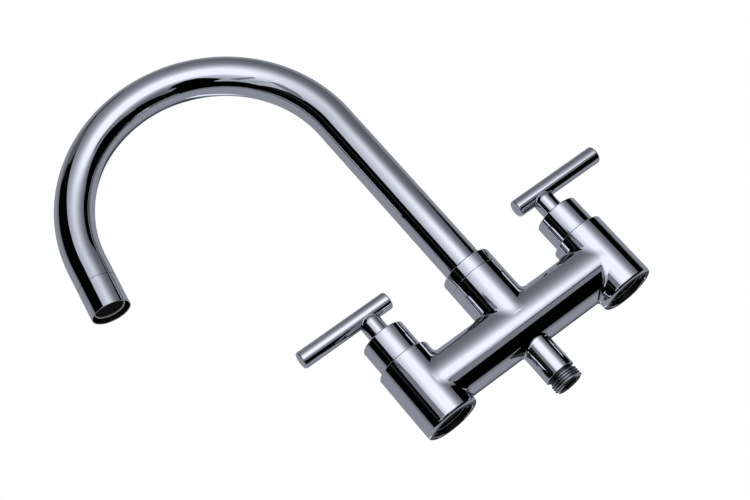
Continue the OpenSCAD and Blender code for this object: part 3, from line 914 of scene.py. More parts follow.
@dataclass
class Casting:
    """The mixer's body: barrels, bridge, column and lower boss with their fillets and bores."""

    spacing: float = 150.0
    barrel_r: float = 19.6
    barrel_h: float = 51.0
    bridge_r: float = 19.2
    bridge_z: float = 25.0
    column_r: float = 18.9
    column_h: float = 68.3
    boss_r: float = 11.0
    boss_z: float = -17.0
    column_fillet: Point = (2.4, 3.6)
    barrel_fillet: Point = (2.2, 3.6)
    boss_fillet: Point = (1.5, 1.5)
    foot_edge: float = 2.2
    top_edge: float = 0.8
    shoulder_edge: float = 0.25
    boss_edge: float = 0.6
    margin: float = 0.8
    rough_over: float = 3.0
    rough_steps: int = 96
    mesh_step: float = 0.75
    recess_r: float = 15.2
    recess_h: float = 1.6
    thread_root_r: float = 13.2205
    thread_crest_r: float = 12.0585
    pitch: float = 1.814
    turns: int = 6
    relief_r: float = 13.42
    relief_h: float = 1.5
    inlet_lip: float = 0.3
    web_h: float = 2.5
    seat_bore_r: float = 6.0
    seat_ring: float = 1.0
    chamber_r: float = 11.5
    chamber_top: float = 32.0
    cartridge_r: float = 10.5
    head_r: float = 14.5
    head_z: float = 42.0
    neck_r: float = 16.8
    neck_top: float = 72.8
    socket_r: float = 13.45
    socket_z: float = 54.65
    riser_r: float = 8.0
    nipple_socket_r: float = 8.35
    nipple_socket_z: float = -4.5

    def reach(self, at: np.ndarray) -> Field:
        """The distance field of the whole outer skin.

        Args:
            at: Points, one a row.

        Returns:
            The distances and their directions.
        """
        bridge = Rod((0, 0, self.bridge_z), (1, 0, 0), self.bridge_r, -self.spacing / 2, self.spacing / 2)
        column = Rod((0, 0, 0), (0, 0, 1), self.column_r, low=self.bridge_z)
        boss = Rod((0, 0, 0), (0, 0, 1), self.boss_r, high=self.bridge_z)
        shape = blend(bridge.reach(at), column.reach(at), *self.column_fillet)
        shape = blend(shape, boss.reach(at), *self.boss_fillet)
        for side in Side:
            barrel = Rod((side.x(self.spacing), 0, 0), (0, 0, 1), self.barrel_r)
            shape = blend(shape, barrel.reach(at), *self.barrel_fillet)
        return shape

    def normals(self, at: np.ndarray, step: float = 0.01) -> np.ndarray:
        """The outer skin's exact normals.

        Args:
            at: Points on the skin, one a row.
            step: How far apart the field is compared.

        Returns:
            The unit normals.
        """
        slope = np.stack([self.reach(at + way)[0] - self.reach(at - way)[0] for way in np.eye(3) * step], 1)
        return slope / np.linalg.norm(slope, axis=1)[:, None]

    def cuts(self) -> dict[str, Cut]:
        """The level ends of the outer skin.

        Returns:
            The ends by name.
        """
        ends = {
            "column": Cut((0, 0), self.column_r, self.column_h - self.margin, True),
            "boss": Cut((0, 0), self.boss_r, self.boss_z + self.boss_edge + self.margin, False),
        }
        low, high = self.foot_edge + self.margin, self.barrel_h - self.top_edge - self.margin
        for side in Side:
            centre = (side.x(self.spacing), 0)
            ends[f"{side.word}_foot"] = Cut(centre, self.barrel_r, low, False)
            ends[f"{side.word}_top"] = Cut(centre, self.barrel_r, high, True)
        return ends

    def rough_shape(self) -> bpy.types.Mesh:
        """Joins plain bars and remeshes them evenly.

        Returns:
            The joined outer shape, in metres, not yet smooth.
        """
        skin, angles = Skin(), even_angles(self.rough_steps)
        half, over = self.spacing / 2, self.rough_over
        upright = [
            (0, self.column_r, self.bridge_z, self.column_h + over),
            (0, self.boss_r, self.boss_z - over, self.bridge_z),
            *((side.x(self.spacing), self.barrel_r, -over, self.barrel_h + over) for side in Side),
        ]
        for x, radius, low, high in upright:
            bar = Outline().line((0, low), (radius, low), (radius, high), (0, high))
            skin.revolve(bar, angles, Matrix.Translation((x, 0, 0)))
        lying = Outline().line((0, -half), (self.bridge_r, -half), (self.bridge_r, half), (0, half))
        place = Matrix.Translation((0, 0, self.bridge_z)) @ Matrix.Rotation(math.pi / 2, 4, "Y")
        skin.revolve(lying, angles, place)
        rough = skin.piece("rough_casting", CHROME)
        remesh = rough.modifiers.new("even", "REMESH")
        remesh.mode = "VOXEL"
        remesh.voxel_size = self.mesh_step * MM
        mesh = evaluated_mesh(rough)
        bpy.data.objects.remove(rough)
        return mesh

    def settle(self, at: np.ndarray, rounds: int = 14) -> np.ndarray:
        """Moves points on to the outer skin.

        Args:
            at: Points, one a row.
            rounds: The number of steps.

        Returns:
            The moved points.
        """
        for _ in range(rounds):
            distance, way = self.reach(at)
            at = at - np.clip(distance, -1, 1)[:, None] * way
        return at

    def outer_skin(self, skin: Skin) -> Ends:
        """Adds the filleted outer surface and finds its level ends.

        Args:
            skin: The mesh in the making.

        Returns:
            For each end, its ring of points and their angles.
        """
        work = bmesh.new()
        work.from_mesh(self.rough_shape())
        at = self.settle(np.array([v.co for v in work.verts]) / MM)
        for vert, place in zip(work.verts, at):
            vert.co = place
        cuts = self.cuts()
        for cut in cuts.values():
            cut.trim(work)
        work.verts.ensure_lookup_table()
        work.verts.index_update()
        rim = {v for e in work.edges if e.is_boundary for v in e.verts}
        rings = {name: cut.rounded_ring(rim) for name, cut in cuts.items()}
        points = np.array([v.co for v in work.verts])
        away = self.normals(points)
        numbers = skin.add_points(points)
        for face in work.faces:
            corners = [v.index for v in face.verts]
            skin.add_face(tuple(numbers[c] for c in corners), [away[c] for c in corners])
        ends = {}
        for name, ring in rings.items():
            ends[name] = ([numbers[v.index] for v in ring], np.array([*ring.values()]))
        work.free()
        return ends

    def barrel(self, skin: Skin, side: Side, rings: Ends) -> None:
        """Adds a barrel's two ends and everything inside it.

        Args:
            skin: The mesh in the making.
            side: Which barrel.
            rings: The outer skin's level ends.
        """
        x = side.x(self.spacing)
        place, lip = Matrix.Translation((x, 0, 0)), self.inlet_lip
        cuts = self.cuts()
        foot_z = cuts[f"{side.word}_foot"].height
        thread_top = self.recess_h + self.turns * self.pitch
        web_z = thread_top + self.relief_h
        seat_z = web_z + self.web_h
        mouth = (
            Outline()
            .line((self.seat_bore_r, seat_z), (self.seat_bore_r, web_z), (self.relief_r, web_z))
            .line((self.relief_r, thread_top), (self.thread_root_r, thread_top))
            .line((self.thread_root_r, self.recess_h), (self.recess_r, self.recess_h), (self.recess_r, lip))
        )
        foot = (
            Outline()
            .line((self.recess_r, lip), (self.recess_r + lip, 0))
            .corner((self.barrel_r, 0), (self.barrel_r, foot_z), self.foot_edge, steps=12)
            .line((self.barrel_r, foot_z))
        )
        ring, angles = rings[f"{side.word}_foot"]
        # The inlet's recess, thread root, relief and seat bore are painted near-black as shade.
        skin.inside = True
        inner, rim = skin.revolve(mouth, angles, place)
        skin.inside = False
        skin.revolve(foot, angles, place, first=rim, last=ring)
        top = (
            Outline()
            .line((self.barrel_r, cuts[f"{side.word}_top"].height))
            .corner((self.barrel_r, self.barrel_h), (self.head_r, self.barrel_h), self.top_edge)
            .line((self.head_r, self.barrel_h))
        )
        chamber = (
            Outline()
            .line((self.head_r, self.barrel_h), (self.head_r, self.head_z), (self.cartridge_r, self.head_z))
            .line((self.cartridge_r, self.chamber_top), (self.chamber_r, self.chamber_top))
            .line((self.chamber_r, seat_z), (self.seat_bore_r + self.seat_ring, seat_z))
        )
        ring, angles = rings[f"{side.word}_top"]
        _, shoulder = skin.revolve(top, angles, place, first=ring)
        # The valve chamber is painted near-black as shade too.
        skin.inside = True
        _, outer = skin.revolve(chamber, angles, place, first=shoulder)
        skin.zip_rings(inner, outer, (x, 0), up=1)
        skin.inside = False

    def column(self, skin: Skin, rings: Ends) -> None:
        """Adds the column's shoulder, threaded neck and spout socket.

        Args:
            skin: The mesh in the making.
            rings: The outer skin's level ends.
        """
        ring, angles = rings["column"]
        outline = (
            Outline()
            .line((self.column_r, self.cuts()["column"].height))
            .corner((self.column_r, self.column_h), (self.neck_r, self.column_h), self.shoulder_edge, steps=4)
            .line((self.neck_r, self.column_h), (self.neck_r, self.neck_top), (self.socket_r, self.neck_top))
            .line((self.socket_r, self.socket_z), (self.riser_r, self.socket_z))
            .line((self.riser_r, self.bridge_z), (0, self.bridge_z))
        )
        skin.revolve(outline, angles, Matrix.Identity(4), first=ring)

    def boss(self, skin: Skin, rings: Ends) -> None:
        """Adds the lower boss's end and the socket of its nipple.

        Args:
            skin: The mesh in the making.
            rings: The outer skin's level ends.
        """
        ring, angles = rings["boss"]
        top = (self.boss_r, self.cuts()["boss"].height)
        outline = (
            Outline()
            .line((0, self.nipple_socket_z), (self.nipple_socket_r, self.nipple_socket_z))
            .line((self.nipple_socket_r, self.boss_z))
            .corner((self.boss_r, self.boss_z), top, self.boss_edge)
            .line(top)
        )
        skin.revolve(outline, angles, Matrix.Identity(4), last=ring)

    def build(self) -> None:
        """Makes the casting and the threads of its inlets."""
        skin = Skin()
        rings = self.outer_skin(skin)
        self.column(skin, rings)
        self.boss(skin, rings)
        length = self.turns * self.pitch
        # The inlet threads are dim metal as painted shade.
        thread = PipeThread(self.thread_root_r, self.thread_crest_r, self.pitch, length, finish=SHADED_THREAD)
        for side in Side:
            self.barrel(skin, side, rings)
            place = Matrix.Translation((side.x(self.spacing), 0, self.recess_h))
            fit_in(thread.piece(f"{side.word}_inlet_thread", place), "body", "chrome")
        fit_in(skin.piece("mixer_casting", CHROME, SHADED_BORE), "body", "chrome", "mixer_body")


# ---------- lower outlet ----------


@dataclass
class Nipple:
    """The threaded lower outlet with its neck and hexagonal bore."""

    boss_z: float = -17.0
    shank_r: float = 8.3
    shank_top: float = -6.0
    neck_r: float = 9.0
    neck_h: float = 1.6
    root_r: float = 9.3155
    crest_r: float = 10.4775
    pitch: float = 1.814
    turns: int = 4
    lead_h: float = 0.6
    lead_share: float = 0.6
    end_edge: float = 0.5
    neck_slope: float = 0.4
    steps: int = 144
    key_af: float = 12.0
    key_h: float = 9.0
    bore_r: float = 4.9
    mouth_r: float = 7.9
    mouth_h: float = 1.0

    def build(self) -> None:
        """Makes the nipple and its thread."""
        thread_top = self.boss_z - self.neck_h
        thread_low = thread_top - self.turns * self.pitch
        end = thread_low - self.lead_h
        key_top = end + self.key_h
        skin, angles, place = Skin(), even_angles(self.steps), Matrix.Identity(4)
        edge_z = end + self.end_edge
        face = Outline().line((self.mouth_r, end), (self.root_r - self.end_edge, end), (self.root_r, edge_z))
        mouth, rim = skin.revolve(face, angles, place)
        # From here the thread's root, the neck, the shank and the hexagonal bore are painted near-black as the
        # shade between the thread's turns and inside the bore.
        skin.inside = True
        rest = (
            Outline()
            .line((self.root_r, edge_z), (self.root_r, thread_top - self.neck_slope))
            .line((self.neck_r, thread_top), (self.neck_r, self.boss_z))
            .line((self.shank_r, self.boss_z), (self.shank_r, self.shank_top))
            .line((self.bore_r, self.shank_top), (self.bore_r, key_top))
        )
        _, bore = skin.revolve(rest, angles, place, first=rim)
        skin.bridge(skin.hexagon(bore, self.key_af, (key_top, end + self.mouth_h), angles, place), mouth)
        fit_in(skin.piece("lower_nipple", CHROME, SHADED_BORE), "body", "chrome", "outlet_nipple")
        lead = self.lead_h * self.lead_share
        thread = PipeThread(self.root_r, self.crest_r, self.pitch, self.turns * self.pitch + lead)
        piece = thread.piece("lower_nipple_thread", Matrix.Translation((0, 0, thread_low - lead)))
        fit_in(piece, "body", "chrome")


# ---------- spout ----------


@dataclass
class Spout:
    """The ring nut, the bent tube and the aerator at its end."""

    column_r: float = 18.9
    column_h: float = 68.3
    nut_gap: float = 0.08
    nut_top: float = 78.3
    nut_web: float = 1.8
    nut_edge: float = 0.9
    nut_lip: float = 0.15
    nut_hole_gap: float = 0.3
    neck_r: float = 16.85
    tube_r: float = 13.9
    tube_wall: float = 1.2
    tube_foot: float = 75.65
    tube_rise: float = 221.0
    bend_r: float = 98.3
    bend_degrees: float = 170.0
    bend_steps: int = 180
    tube_steps: int = 128
    tail_h: float = 39.3
    turn_degrees: float = 176.5
    sleeve_h: float = 22.5
    sleeve_wall: float = 1.3
    seam: float = 0.15
    seam_edge: float = 0.15
    mouth_r: float = 13.2
    rim_r: float = 0.35
    lip_z: float = 4.0
    lip_h: float = 1.2
    lip_r: float = 11.2
    face_r: float = 10.95
    face_z: float = 2.8
    insert_edge: float = 0.3
    insert_gap: float = 0.1
    screen_r: float = 10.1
    screen_z: float = 3.6
    screen_h: float = 0.6
    screen_gap: float = 0.05
    insert_top: float = 10.2
    pocket_r: float = 10.85
    pocket_z: float = 8.2
    insert_bore_r: float = 9.1
    wire_pitch: float = 0.66
    wire_r: float = 0.19
    wire_sides: int = 6
    wire_lift: float = 1.6
    hoop_inset: float = 0.1
    hoop_steps: int = 96

    def turned(self) -> Matrix:
        """Takes the spout's own frame, in which it points along +X, to the object's."""
        return Matrix.Rotation(math.radians(self.turn_degrees), 4, "Z")

    def outlet(self) -> Matrix:
        """Takes the outlet's frame, with its rim at height 0 and up into the tube, to the object's."""
        bend = Matrix.Rotation(math.radians(self.bend_degrees), 4, "Y")
        centre = Matrix.Translation((self.bend_r, 0, self.tube_rise))
        rim = Matrix.Translation((-self.bend_r, 0, self.tail_h))
        return self.turned() @ centre @ bend @ rim @ Matrix.Rotation(math.pi, 4, "X")

    def nut(self) -> None:
        """Makes the ring nut."""
        low, hole_r = self.column_h + self.nut_gap, self.tube_r + self.nut_hole_gap
        lip, top, web_z = self.nut_lip, self.nut_top, self.nut_top - self.nut_web
        outline = (
            Outline()
            .line((self.column_r - lip, low), (self.column_r, low + lip))
            .corner((self.column_r, top), (hole_r, top), self.nut_edge)
            .line((hole_r + lip, top), (hole_r, top - lip), (hole_r, web_z), (self.neck_r, web_z))
            .line((self.neck_r, low), (self.column_r - lip, low))
        )
        fit_in(turned_piece("swivel_nut", outline, Matrix.Identity(4), CHROME), "body", "chrome", "spout_nut")

    def tube(self) -> None:
        """Bends the tube along its line with Geometry Nodes and closes its ends."""
        tree = Tree(
            "spout_bend",
            {
                "Foot": self.tube_foot * MM,
                "Rise": self.tube_rise * MM,
                "Bend radius": self.bend_r * MM,
                "Bend": math.radians(self.bend_degrees),
                "Tail": (self.tail_h - self.sleeve_h - self.seam) * MM,
                "Tube radius": self.tube_r * MM,
                "Wall": self.tube_wall * MM,
                "Bend steps": self.bend_steps,
                "Steps around": self.tube_steps,
            },
        )
        radius, bend = tree.size("Bend radius"), tree.size("Bend")
        foot, rise = tree.vector(z=tree.size("Foot")), tree.vector(z=tree.size("Rise"))
        upright = tree.make("CurvePrimitiveLine", {"Start": foot, "End": rise})
        across = tree.make("MeshLine", {"Count": tree.size("Bend steps")}, mode="OFFSET")
        last = tree.math("SUBTRACT", tree.size("Bend steps"), 1.0)
        angle = tree.math("MULTIPLY", tree.math("DIVIDE", tree.make("InputIndex"), last), bend)

        def on_bend(turn: Socket) -> tuple[Socket, Socket]:
            """The sockets with x and z of the tube's line after a turn."""
            x = tree.math("MULTIPLY", radius, tree.math("SUBTRACT", 1.0, tree.math("COSINE", turn)))
            z = tree.math("MULTIPLY_ADD", radius, tree.math("SINE", turn), tree.size("Rise"))
            return x, z

        x, z = on_bend(angle)
        arc = tree.make("SetPosition", {"Geometry": across, "Position": tree.vector(x, z=z)})
        end_x, end_z = on_bend(bend)
        tip_x = tree.math("MULTIPLY_ADD", tree.size("Tail"), tree.math("SINE", bend), end_x)
        tip_z = tree.math("MULTIPLY_ADD", tree.size("Tail"), tree.math("COSINE", bend), end_z)
        fall = {"Start": tree.vector(end_x, z=end_z), "End": tree.vector(tip_x, z=tip_z)}
        ends = tree.make("CurveToMesh", {"Curve": tree.join(upright, tree.make("CurvePrimitiveLine", fall))})
        line = tree.make("MergeByDistance", {"Geometry": tree.join(ends, arc), "Distance": 1e-5})
        path = tree.make("MeshToCurve", {"Mesh": line})
        inner_r = tree.math("SUBTRACT", tree.size("Tube radius"), tree.size("Wall"))
        walls = []
        for wall_r in (tree.size("Tube radius"), inner_r):
            around = {"Resolution": tree.size("Steps around"), "Radius": wall_r}
            ring = tree.make("CurvePrimitiveCircle", around)
            walls.append(tree.make("CurveToMesh", {"Curve": path, "Profile Curve": ring}))
        piece = tree.mesh_object("bent_tube", tree.join(*walls), CHROME, self.turned())
        self.close_ends(piece)
        fit_in(piece, "spout", "chrome", "spout_tube")

    def close_ends(self, piece: bpy.types.Object) -> None:
        """Joins the tube's outer and inner walls at both ends.

        Args:
            piece: The tube with open ends.
        """
        work = bmesh.new()
        work.from_mesh(piece.data)
        rims = [e for e in work.edges if e.is_boundary]
        halfway = self.tube_rise / 2 * MM
        for at_foot in (True, False):
            bmesh.ops.bridge_loops(work, edges=[e for e in rims if (e.verts[0].co.z < halfway) == at_foot])
        work.to_mesh(piece.data)
        work.free()
        face_outward(piece, sharp_degrees=40)

    def sleeve(self) -> None:
        """Makes the sleeve that holds the aerator."""
        edge, seam_edge, inner_r = self.rim_r, self.seam_edge, self.tube_r - self.sleeve_wall
        outside = (
            Outline()
            .line((self.mouth_r, edge))
            .corner((self.mouth_r, 0), (self.tube_r, 0), edge, steps=6)
            .corner((self.tube_r, 0), (self.tube_r, self.sleeve_h), edge, steps=6)
            .line((self.tube_r, self.sleeve_h - seam_edge), (self.tube_r - seam_edge, self.sleeve_h))
        )
        inside = (
            Outline()
            .line((self.tube_r - seam_edge, self.sleeve_h), (inner_r, self.sleeve_h))
            .line((inner_r, self.lip_z + self.lip_h), (self.lip_r, self.lip_z + self.lip_h))
            .line((self.lip_r, self.lip_z), (self.mouth_r, self.lip_z), (self.mouth_r, edge))
        )
        skin, angles = Skin(), even_angles(ROUND_STEPS)
        first, last = skin.revolve(outside, angles, self.outlet())
        # The sleeve's inside is painted near-black as shade.
        skin.inside = True
        skin.revolve(inside, angles, self.outlet(), first=last, last=first)
        fit_in(skin.piece("outlet_sleeve", CHROME, SHADED_BORE), "spout", "chrome", "aerator_sleeve")

    def insert(self) -> None:
        """Makes the aerator's insert with its rounded face ring."""
        shelf_z, screen_top = self.lip_z + self.lip_h, self.screen_z + self.screen_h
        shelf_r = self.tube_r - self.sleeve_wall - self.insert_gap
        seat_r = self.screen_r + self.screen_gap
        outline = (
            Outline()
            .line((self.insert_bore_r, self.pocket_z), (self.insert_bore_r, screen_top))
            .line((seat_r, screen_top))
            .corner((seat_r, self.face_z), (self.face_r, self.face_z), self.insert_edge, steps=5)
            .corner((self.face_r, self.face_z), (self.face_r, shelf_z), self.insert_edge, steps=5)
            .line((self.face_r, shelf_z), (shelf_r, shelf_z), (shelf_r, self.insert_top))
            .line((self.pocket_r, self.insert_top), (self.pocket_r, self.pocket_z))
            .line((self.insert_bore_r, self.pocket_z))
        )
        piece = turned_piece("aerator_core", outline, self.outlet(), GREY_PLASTIC)
        fit_in(piece, "spout", "plastic", "aerator_insert")

    def screen(self) -> None:
        """Weaves the outlet screen from two sets of wires with Geometry Nodes."""
        reach = self.screen_r - self.hoop_inset
        tree = Tree(
            "outlet_screen",
            {
                "Reach": reach * MM,
                "Pitch": self.wire_pitch * MM,
                "Wires": int(2 * reach / self.wire_pitch),
                "Wire radius": self.wire_r * MM,
                "Wire sides": self.wire_sides,
            },
        )
        half_gaps = tree.math("MULTIPLY", tree.math("SUBTRACT", tree.size("Wires"), 1.0), -0.5)
        start = tree.math("MULTIPLY", half_gaps, tree.size("Pitch"))
        spread = {
            "Count": tree.size("Wires"),
            "Start Location": tree.vector(y=start),
            "Offset": tree.vector(y=tree.size("Pitch")),
        }
        row = tree.make("MeshLine", spread, mode="OFFSET")
        offset = tree.add("ShaderNodeSeparateXYZ", {0: tree.make("InputPosition")}).outputs["Y"]
        squares = [tree.math("POWER", length, 2.0) for length in (tree.size("Reach"), offset)]
        chord_square = tree.math("SUBTRACT", *squares)
        chord = tree.math("SQRT", tree.math("MAXIMUM", chord_square, 0.0))
        line = tree.make("CurvePrimitiveLine", {"Start": (-1, 0, 0), "End": (1, 0, 0)})
        around = {"Resolution": tree.size("Wire sides"), "Radius": tree.size("Wire radius")}
        section = tree.make("CurvePrimitiveCircle", around)
        wire = tree.make("CurveToMesh", {"Curve": line, "Profile Curve": section, "Fill Caps": True})
        placed = {"Points": row, "Instance": wire, "Scale": tree.vector(chord, 1.0, 1.0)}
        wires = tree.make("InstanceOnPoints", placed)
        lift = tree.math("MULTIPLY", tree.size("Wire radius"), self.wire_lift)
        across = {"Geometry": wires, "Translation": tree.vector(z=lift), "Rotation": (0, 0, math.pi / 2)}
        bend = {"Resolution": self.hoop_steps, "Radius": tree.size("Reach")}
        hoop_line = tree.make("CurvePrimitiveCircle", bend)
        hoop = tree.make("CurveToMesh", {"Curve": hoop_line, "Profile Curve": section})
        shape = tree.join(wires, tree.make("Transform", across), hoop)
        place = self.outlet() @ Matrix.Translation((0, 0, self.screen_z + self.wire_r))
        # The wires are near-black as painted shade inside the aerator.
        piece = tree.mesh_object("outlet_screen", shape, SHADED_SCREEN, place)
        face_outward(piece, sharp_degrees=50)
        fit_in(piece, "spout", "steel", "aerator_screen")

    def build(self) -> None:
        """Makes every piece of the spout."""
        self.nut()
        self.tube()
        self.sleeve()
        self.insert()
        self.screen()


# ---------- handles ----------


@dataclass
class Handle:
    """A valve's handle: hub, post, lever bar and set screw."""

    side: Side
    spacing: float = 150.0
    hub_z: float = 51.4
    hub_h: float = 21.1
    hub_r: float = 16.0
    hub_edge: float = 1.0
    hub_wall: float = 2.4
    hub_roof: float = 4.5
    hub_foot: float = 0.2
    boss_r: float = 9.0
    bush_r: float = 6.85
    bush_lift: float = 1.2
    bush_top: float = 12.15
    post_r: float = 7.6
    post_h: float = 17.5
    post_round: float = 5.0
    post_edge: float = 0.15
    spigot_r: float = 4.0
    spigot_h: float = 6.5
    turned_steps: int = 128
    bar_r: float = 6.2
    bar_rise: float = 19.2
    bar_in: float = 19.5
    bar_out: float = 52.2
    bar_edge: float = 1.3
    screw_r: float = 2.5
    screw_lift: float = 6.6
    screw_face: float = 13.6
    screw_foot: float = 6.85
    screw_edge: float = 0.3
    screw_steps: int = 48
    drill_gap: float = 0.05
    drill_lead: float = 0.3
    key_af: float = 2.5
    key_h: float = 2.5
    key_edge: float = 0.1
    key_tip: float = 0.4

    @property
    def body(self) -> str:
        """The CAD body that the handle turns with."""
        return f"{self.side.word}_handle"

    def stand(self) -> Matrix:
        """Takes the handle's frame, with its axis upright at the origin, to the object's."""
        return Matrix.Translation((self.side.x(self.spacing), 0, 0))

    def hub(self) -> None:
        """Turns the hub and drills the set screw's hole."""
        low, top = self.hub_z, self.hub_z + self.hub_h
        cavity_r, cavity_top = self.hub_r - self.hub_wall, top - self.hub_roof
        boss_low, foot = low + self.bush_lift, self.hub_foot
        outline = (
            Outline()
            .line((0, low + self.bush_top), (self.bush_r, low + self.bush_top), (self.bush_r, boss_low))
            .line((self.boss_r, boss_low), (self.boss_r, cavity_top), (cavity_r, cavity_top), (cavity_r, low))
            .line((self.hub_r - foot, low), (self.hub_r, low + foot))
            .corner((self.hub_r, top), (0, top), self.hub_edge, steps=10)
            .line((0, top))
        )
        piece = turned_piece(f"{self.side.word}_hub", outline, self.stand(), CHROME)
        self.drill(piece)
        fit_in(piece, self.body, "chrome", f"{self.side.word}_handle_hub")

    def drill(self, piece: bpy.types.Object) -> None:
        """Cuts the set screw's hole and gives every corner its exact normal again.

        Args:
            piece: The hub.
        """
        drill_r = self.screw_r + self.drill_gap
        bit = Outline().line((0, 0), (drill_r, 0), (drill_r, self.hub_r * 2), (0, self.hub_r * 2))
        place = self.screw_place(self.bush_r - self.drill_lead)
        cutter = turned_piece("drill", bit, place, CHROME, self.screw_steps)
        cut = piece.modifiers.new("hole", "BOOLEAN")
        cut.operation, cut.solver, cut.object = "DIFFERENCE", "EXACT", cutter
        mesh = evaluated_mesh(piece)
        piece.modifiers.remove(cut)
        piece.data = mesh
        bpy.data.objects.remove(cutter)
        mesh.name = piece.name
        shade_smooth(mesh)
        mesh.normals_split_custom_set(self.exact_normals(mesh))

    def exact_normals(self, mesh: bpy.types.Mesh, alike: float = 0.985) -> list[Vector]:
        """Finds the exact normal of each corner of the drilled hub.

        Args:
            mesh: The hub's mesh, in metres.
            alike: How well a normal has to agree with its face, as a cosine.

        Returns:
            The normals, by corner.
        """
        centre = Vector((self.side.x(self.spacing), 0, 0)) * MM
        hole_z = (self.hub_z + self.screw_lift) * MM
        edge_r, edge_z = (self.hub_r - self.hub_edge) * MM, (self.hub_z + self.hub_h - self.hub_edge) * MM
        normals = []
        for face in mesh.polygons:
            for corner in face.vertices:
                at = mesh.vertices[corner].co - centre
                level = Vector((at.x, at.y, 0))
                radial = level.normalized()
                rounded = radial * max(level.length - edge_r, 0) + Vector((0, 0, max(at.z - edge_z, 0)))
                hole = -Vector((at.x, 0, at.z - hole_z)).normalized()
                ways = [radial, -radial, rounded.normalized(), hole, face.normal]
                normals.append(next(w for w in ways if w.dot(face.normal) > alike))
        return normals

    def screw_place(self, start: float) -> Matrix:
        """Takes a frame along the set screw, outward, to the object's.

        Args:
            start: Its distance from the valve's axis.

        Returns:
            The matrix.
        """
        outward = Matrix.Rotation(-math.pi / 2, 4, "X")
        return self.stand() @ Matrix.Translation((0, start, self.hub_z + self.screw_lift)) @ outward

    def set_screw(self) -> None:
        """Makes the set screw with its hexagonal key."""
        length, edge = self.screw_face - self.screw_foot, self.screw_edge
        mouth_r, key_low = self.key_af / math.sqrt(3) + self.key_edge, length - self.key_h
        outline = Outline().line((0, 0), (self.screw_r - edge, 0), (self.screw_r, edge))
        outline.line((self.screw_r, length - edge), (self.screw_r - edge, length), (mouth_r, length))
        skin, angles, place = Skin(), even_angles(self.screw_steps), self.screw_place(self.screw_foot)
        _, mouth = skin.revolve(outline, angles, place)
        key = skin.hexagon(mouth, self.key_af, (length - self.key_edge, key_low), angles, place)
        skin.bridge(key, skin.ring(0.0, key_low - self.key_tip, angles, place))
        piece = skin.piece(f"{self.side.word}_grub_screw", STEEL)
        fit_in(piece, self.body, "steel", f"{self.side.word}_set_screw")

    def post(self) -> None:
        """Turns the post with its rounded end, which lies inside the bar."""
        low, foot_r = self.hub_z + self.hub_h, self.spigot_r
        foot, end = low - self.spigot_h, low + self.post_h
        outline = (
            Outline()
            .line((0, foot), (foot_r, foot), (foot_r, low), (self.post_r - self.post_edge, low))
            .line((self.post_r, low + self.post_edge))
            .corner((self.post_r, end), (0, end), self.post_round, steps=16)
            .line((0, end))
        )
        piece = turned_piece(f"{self.side.word}_post", outline, self.stand(), CHROME, self.turned_steps)
        fit_in(piece, self.body, "chrome", f"{self.side.word}_handle_post")

    def bar(self) -> None:
        """Turns the lever bar with its rounded ends."""
        axis_z = self.hub_z + self.hub_h + self.bar_rise
        outward = Matrix.Rotation(self.side.value * math.pi / 2, 4, "Y")
        start, end = (0, -self.bar_in), (0, self.bar_out)
        low, high = (self.bar_r, -self.bar_in), (self.bar_r, self.bar_out)
        outline = Outline().line(start).corner(low, high, self.bar_edge)
        outline.corner(high, end, self.bar_edge).line(end)
        place = self.stand() @ Matrix.Translation((0, 0, axis_z)) @ outward
        piece = turned_piece(f"{self.side.word}_lever", outline, place, CHROME, self.turned_steps)
        fit_in(piece, self.body, "chrome", f"{self.side.word}_handle_bar")

    def build(self) -> None:
        """Makes every piece of the handle."""
        self.hub()
        self.set_screw()
        self.post()
        self.bar()


@dataclass
class InnerParts:
    """The carried-over CAD nodes inside the mixer, which only get their finishes."""

    nodes: dict[str, bpy.types.Object]
    slots: dict[str, str]

    def dress(self) -> None:
        """Gives each CAD node the finish of its material slot."""
        for name, node in self.nodes.items():
            finish = SLOT_FINISHES[self.slots[name]]
            node.data.materials.clear()
            node.data.materials.append(finish.material())
            LOG.info("%s: %s", name, finish.name)


# ---------- studio ----------


CENTRE = Vector((0, 0, 0.15))
UP = Vector((0, 0, 1))
COOL = (0.93, 0.97, 1.11, 1)
WHITE = (0.975, 0.985, 1.02, 1)


def direction(azimuth: float, elevation: float) -> Vector:
    """The unit vector of an azimuth, from the front towards the right, and an elevation."""
    a, e = math.radians(azimuth), math.radians(elevation)
    return Vector((math.sin(a) * math.cos(e), -math.cos(a) * math.cos(e), math.sin(e)))


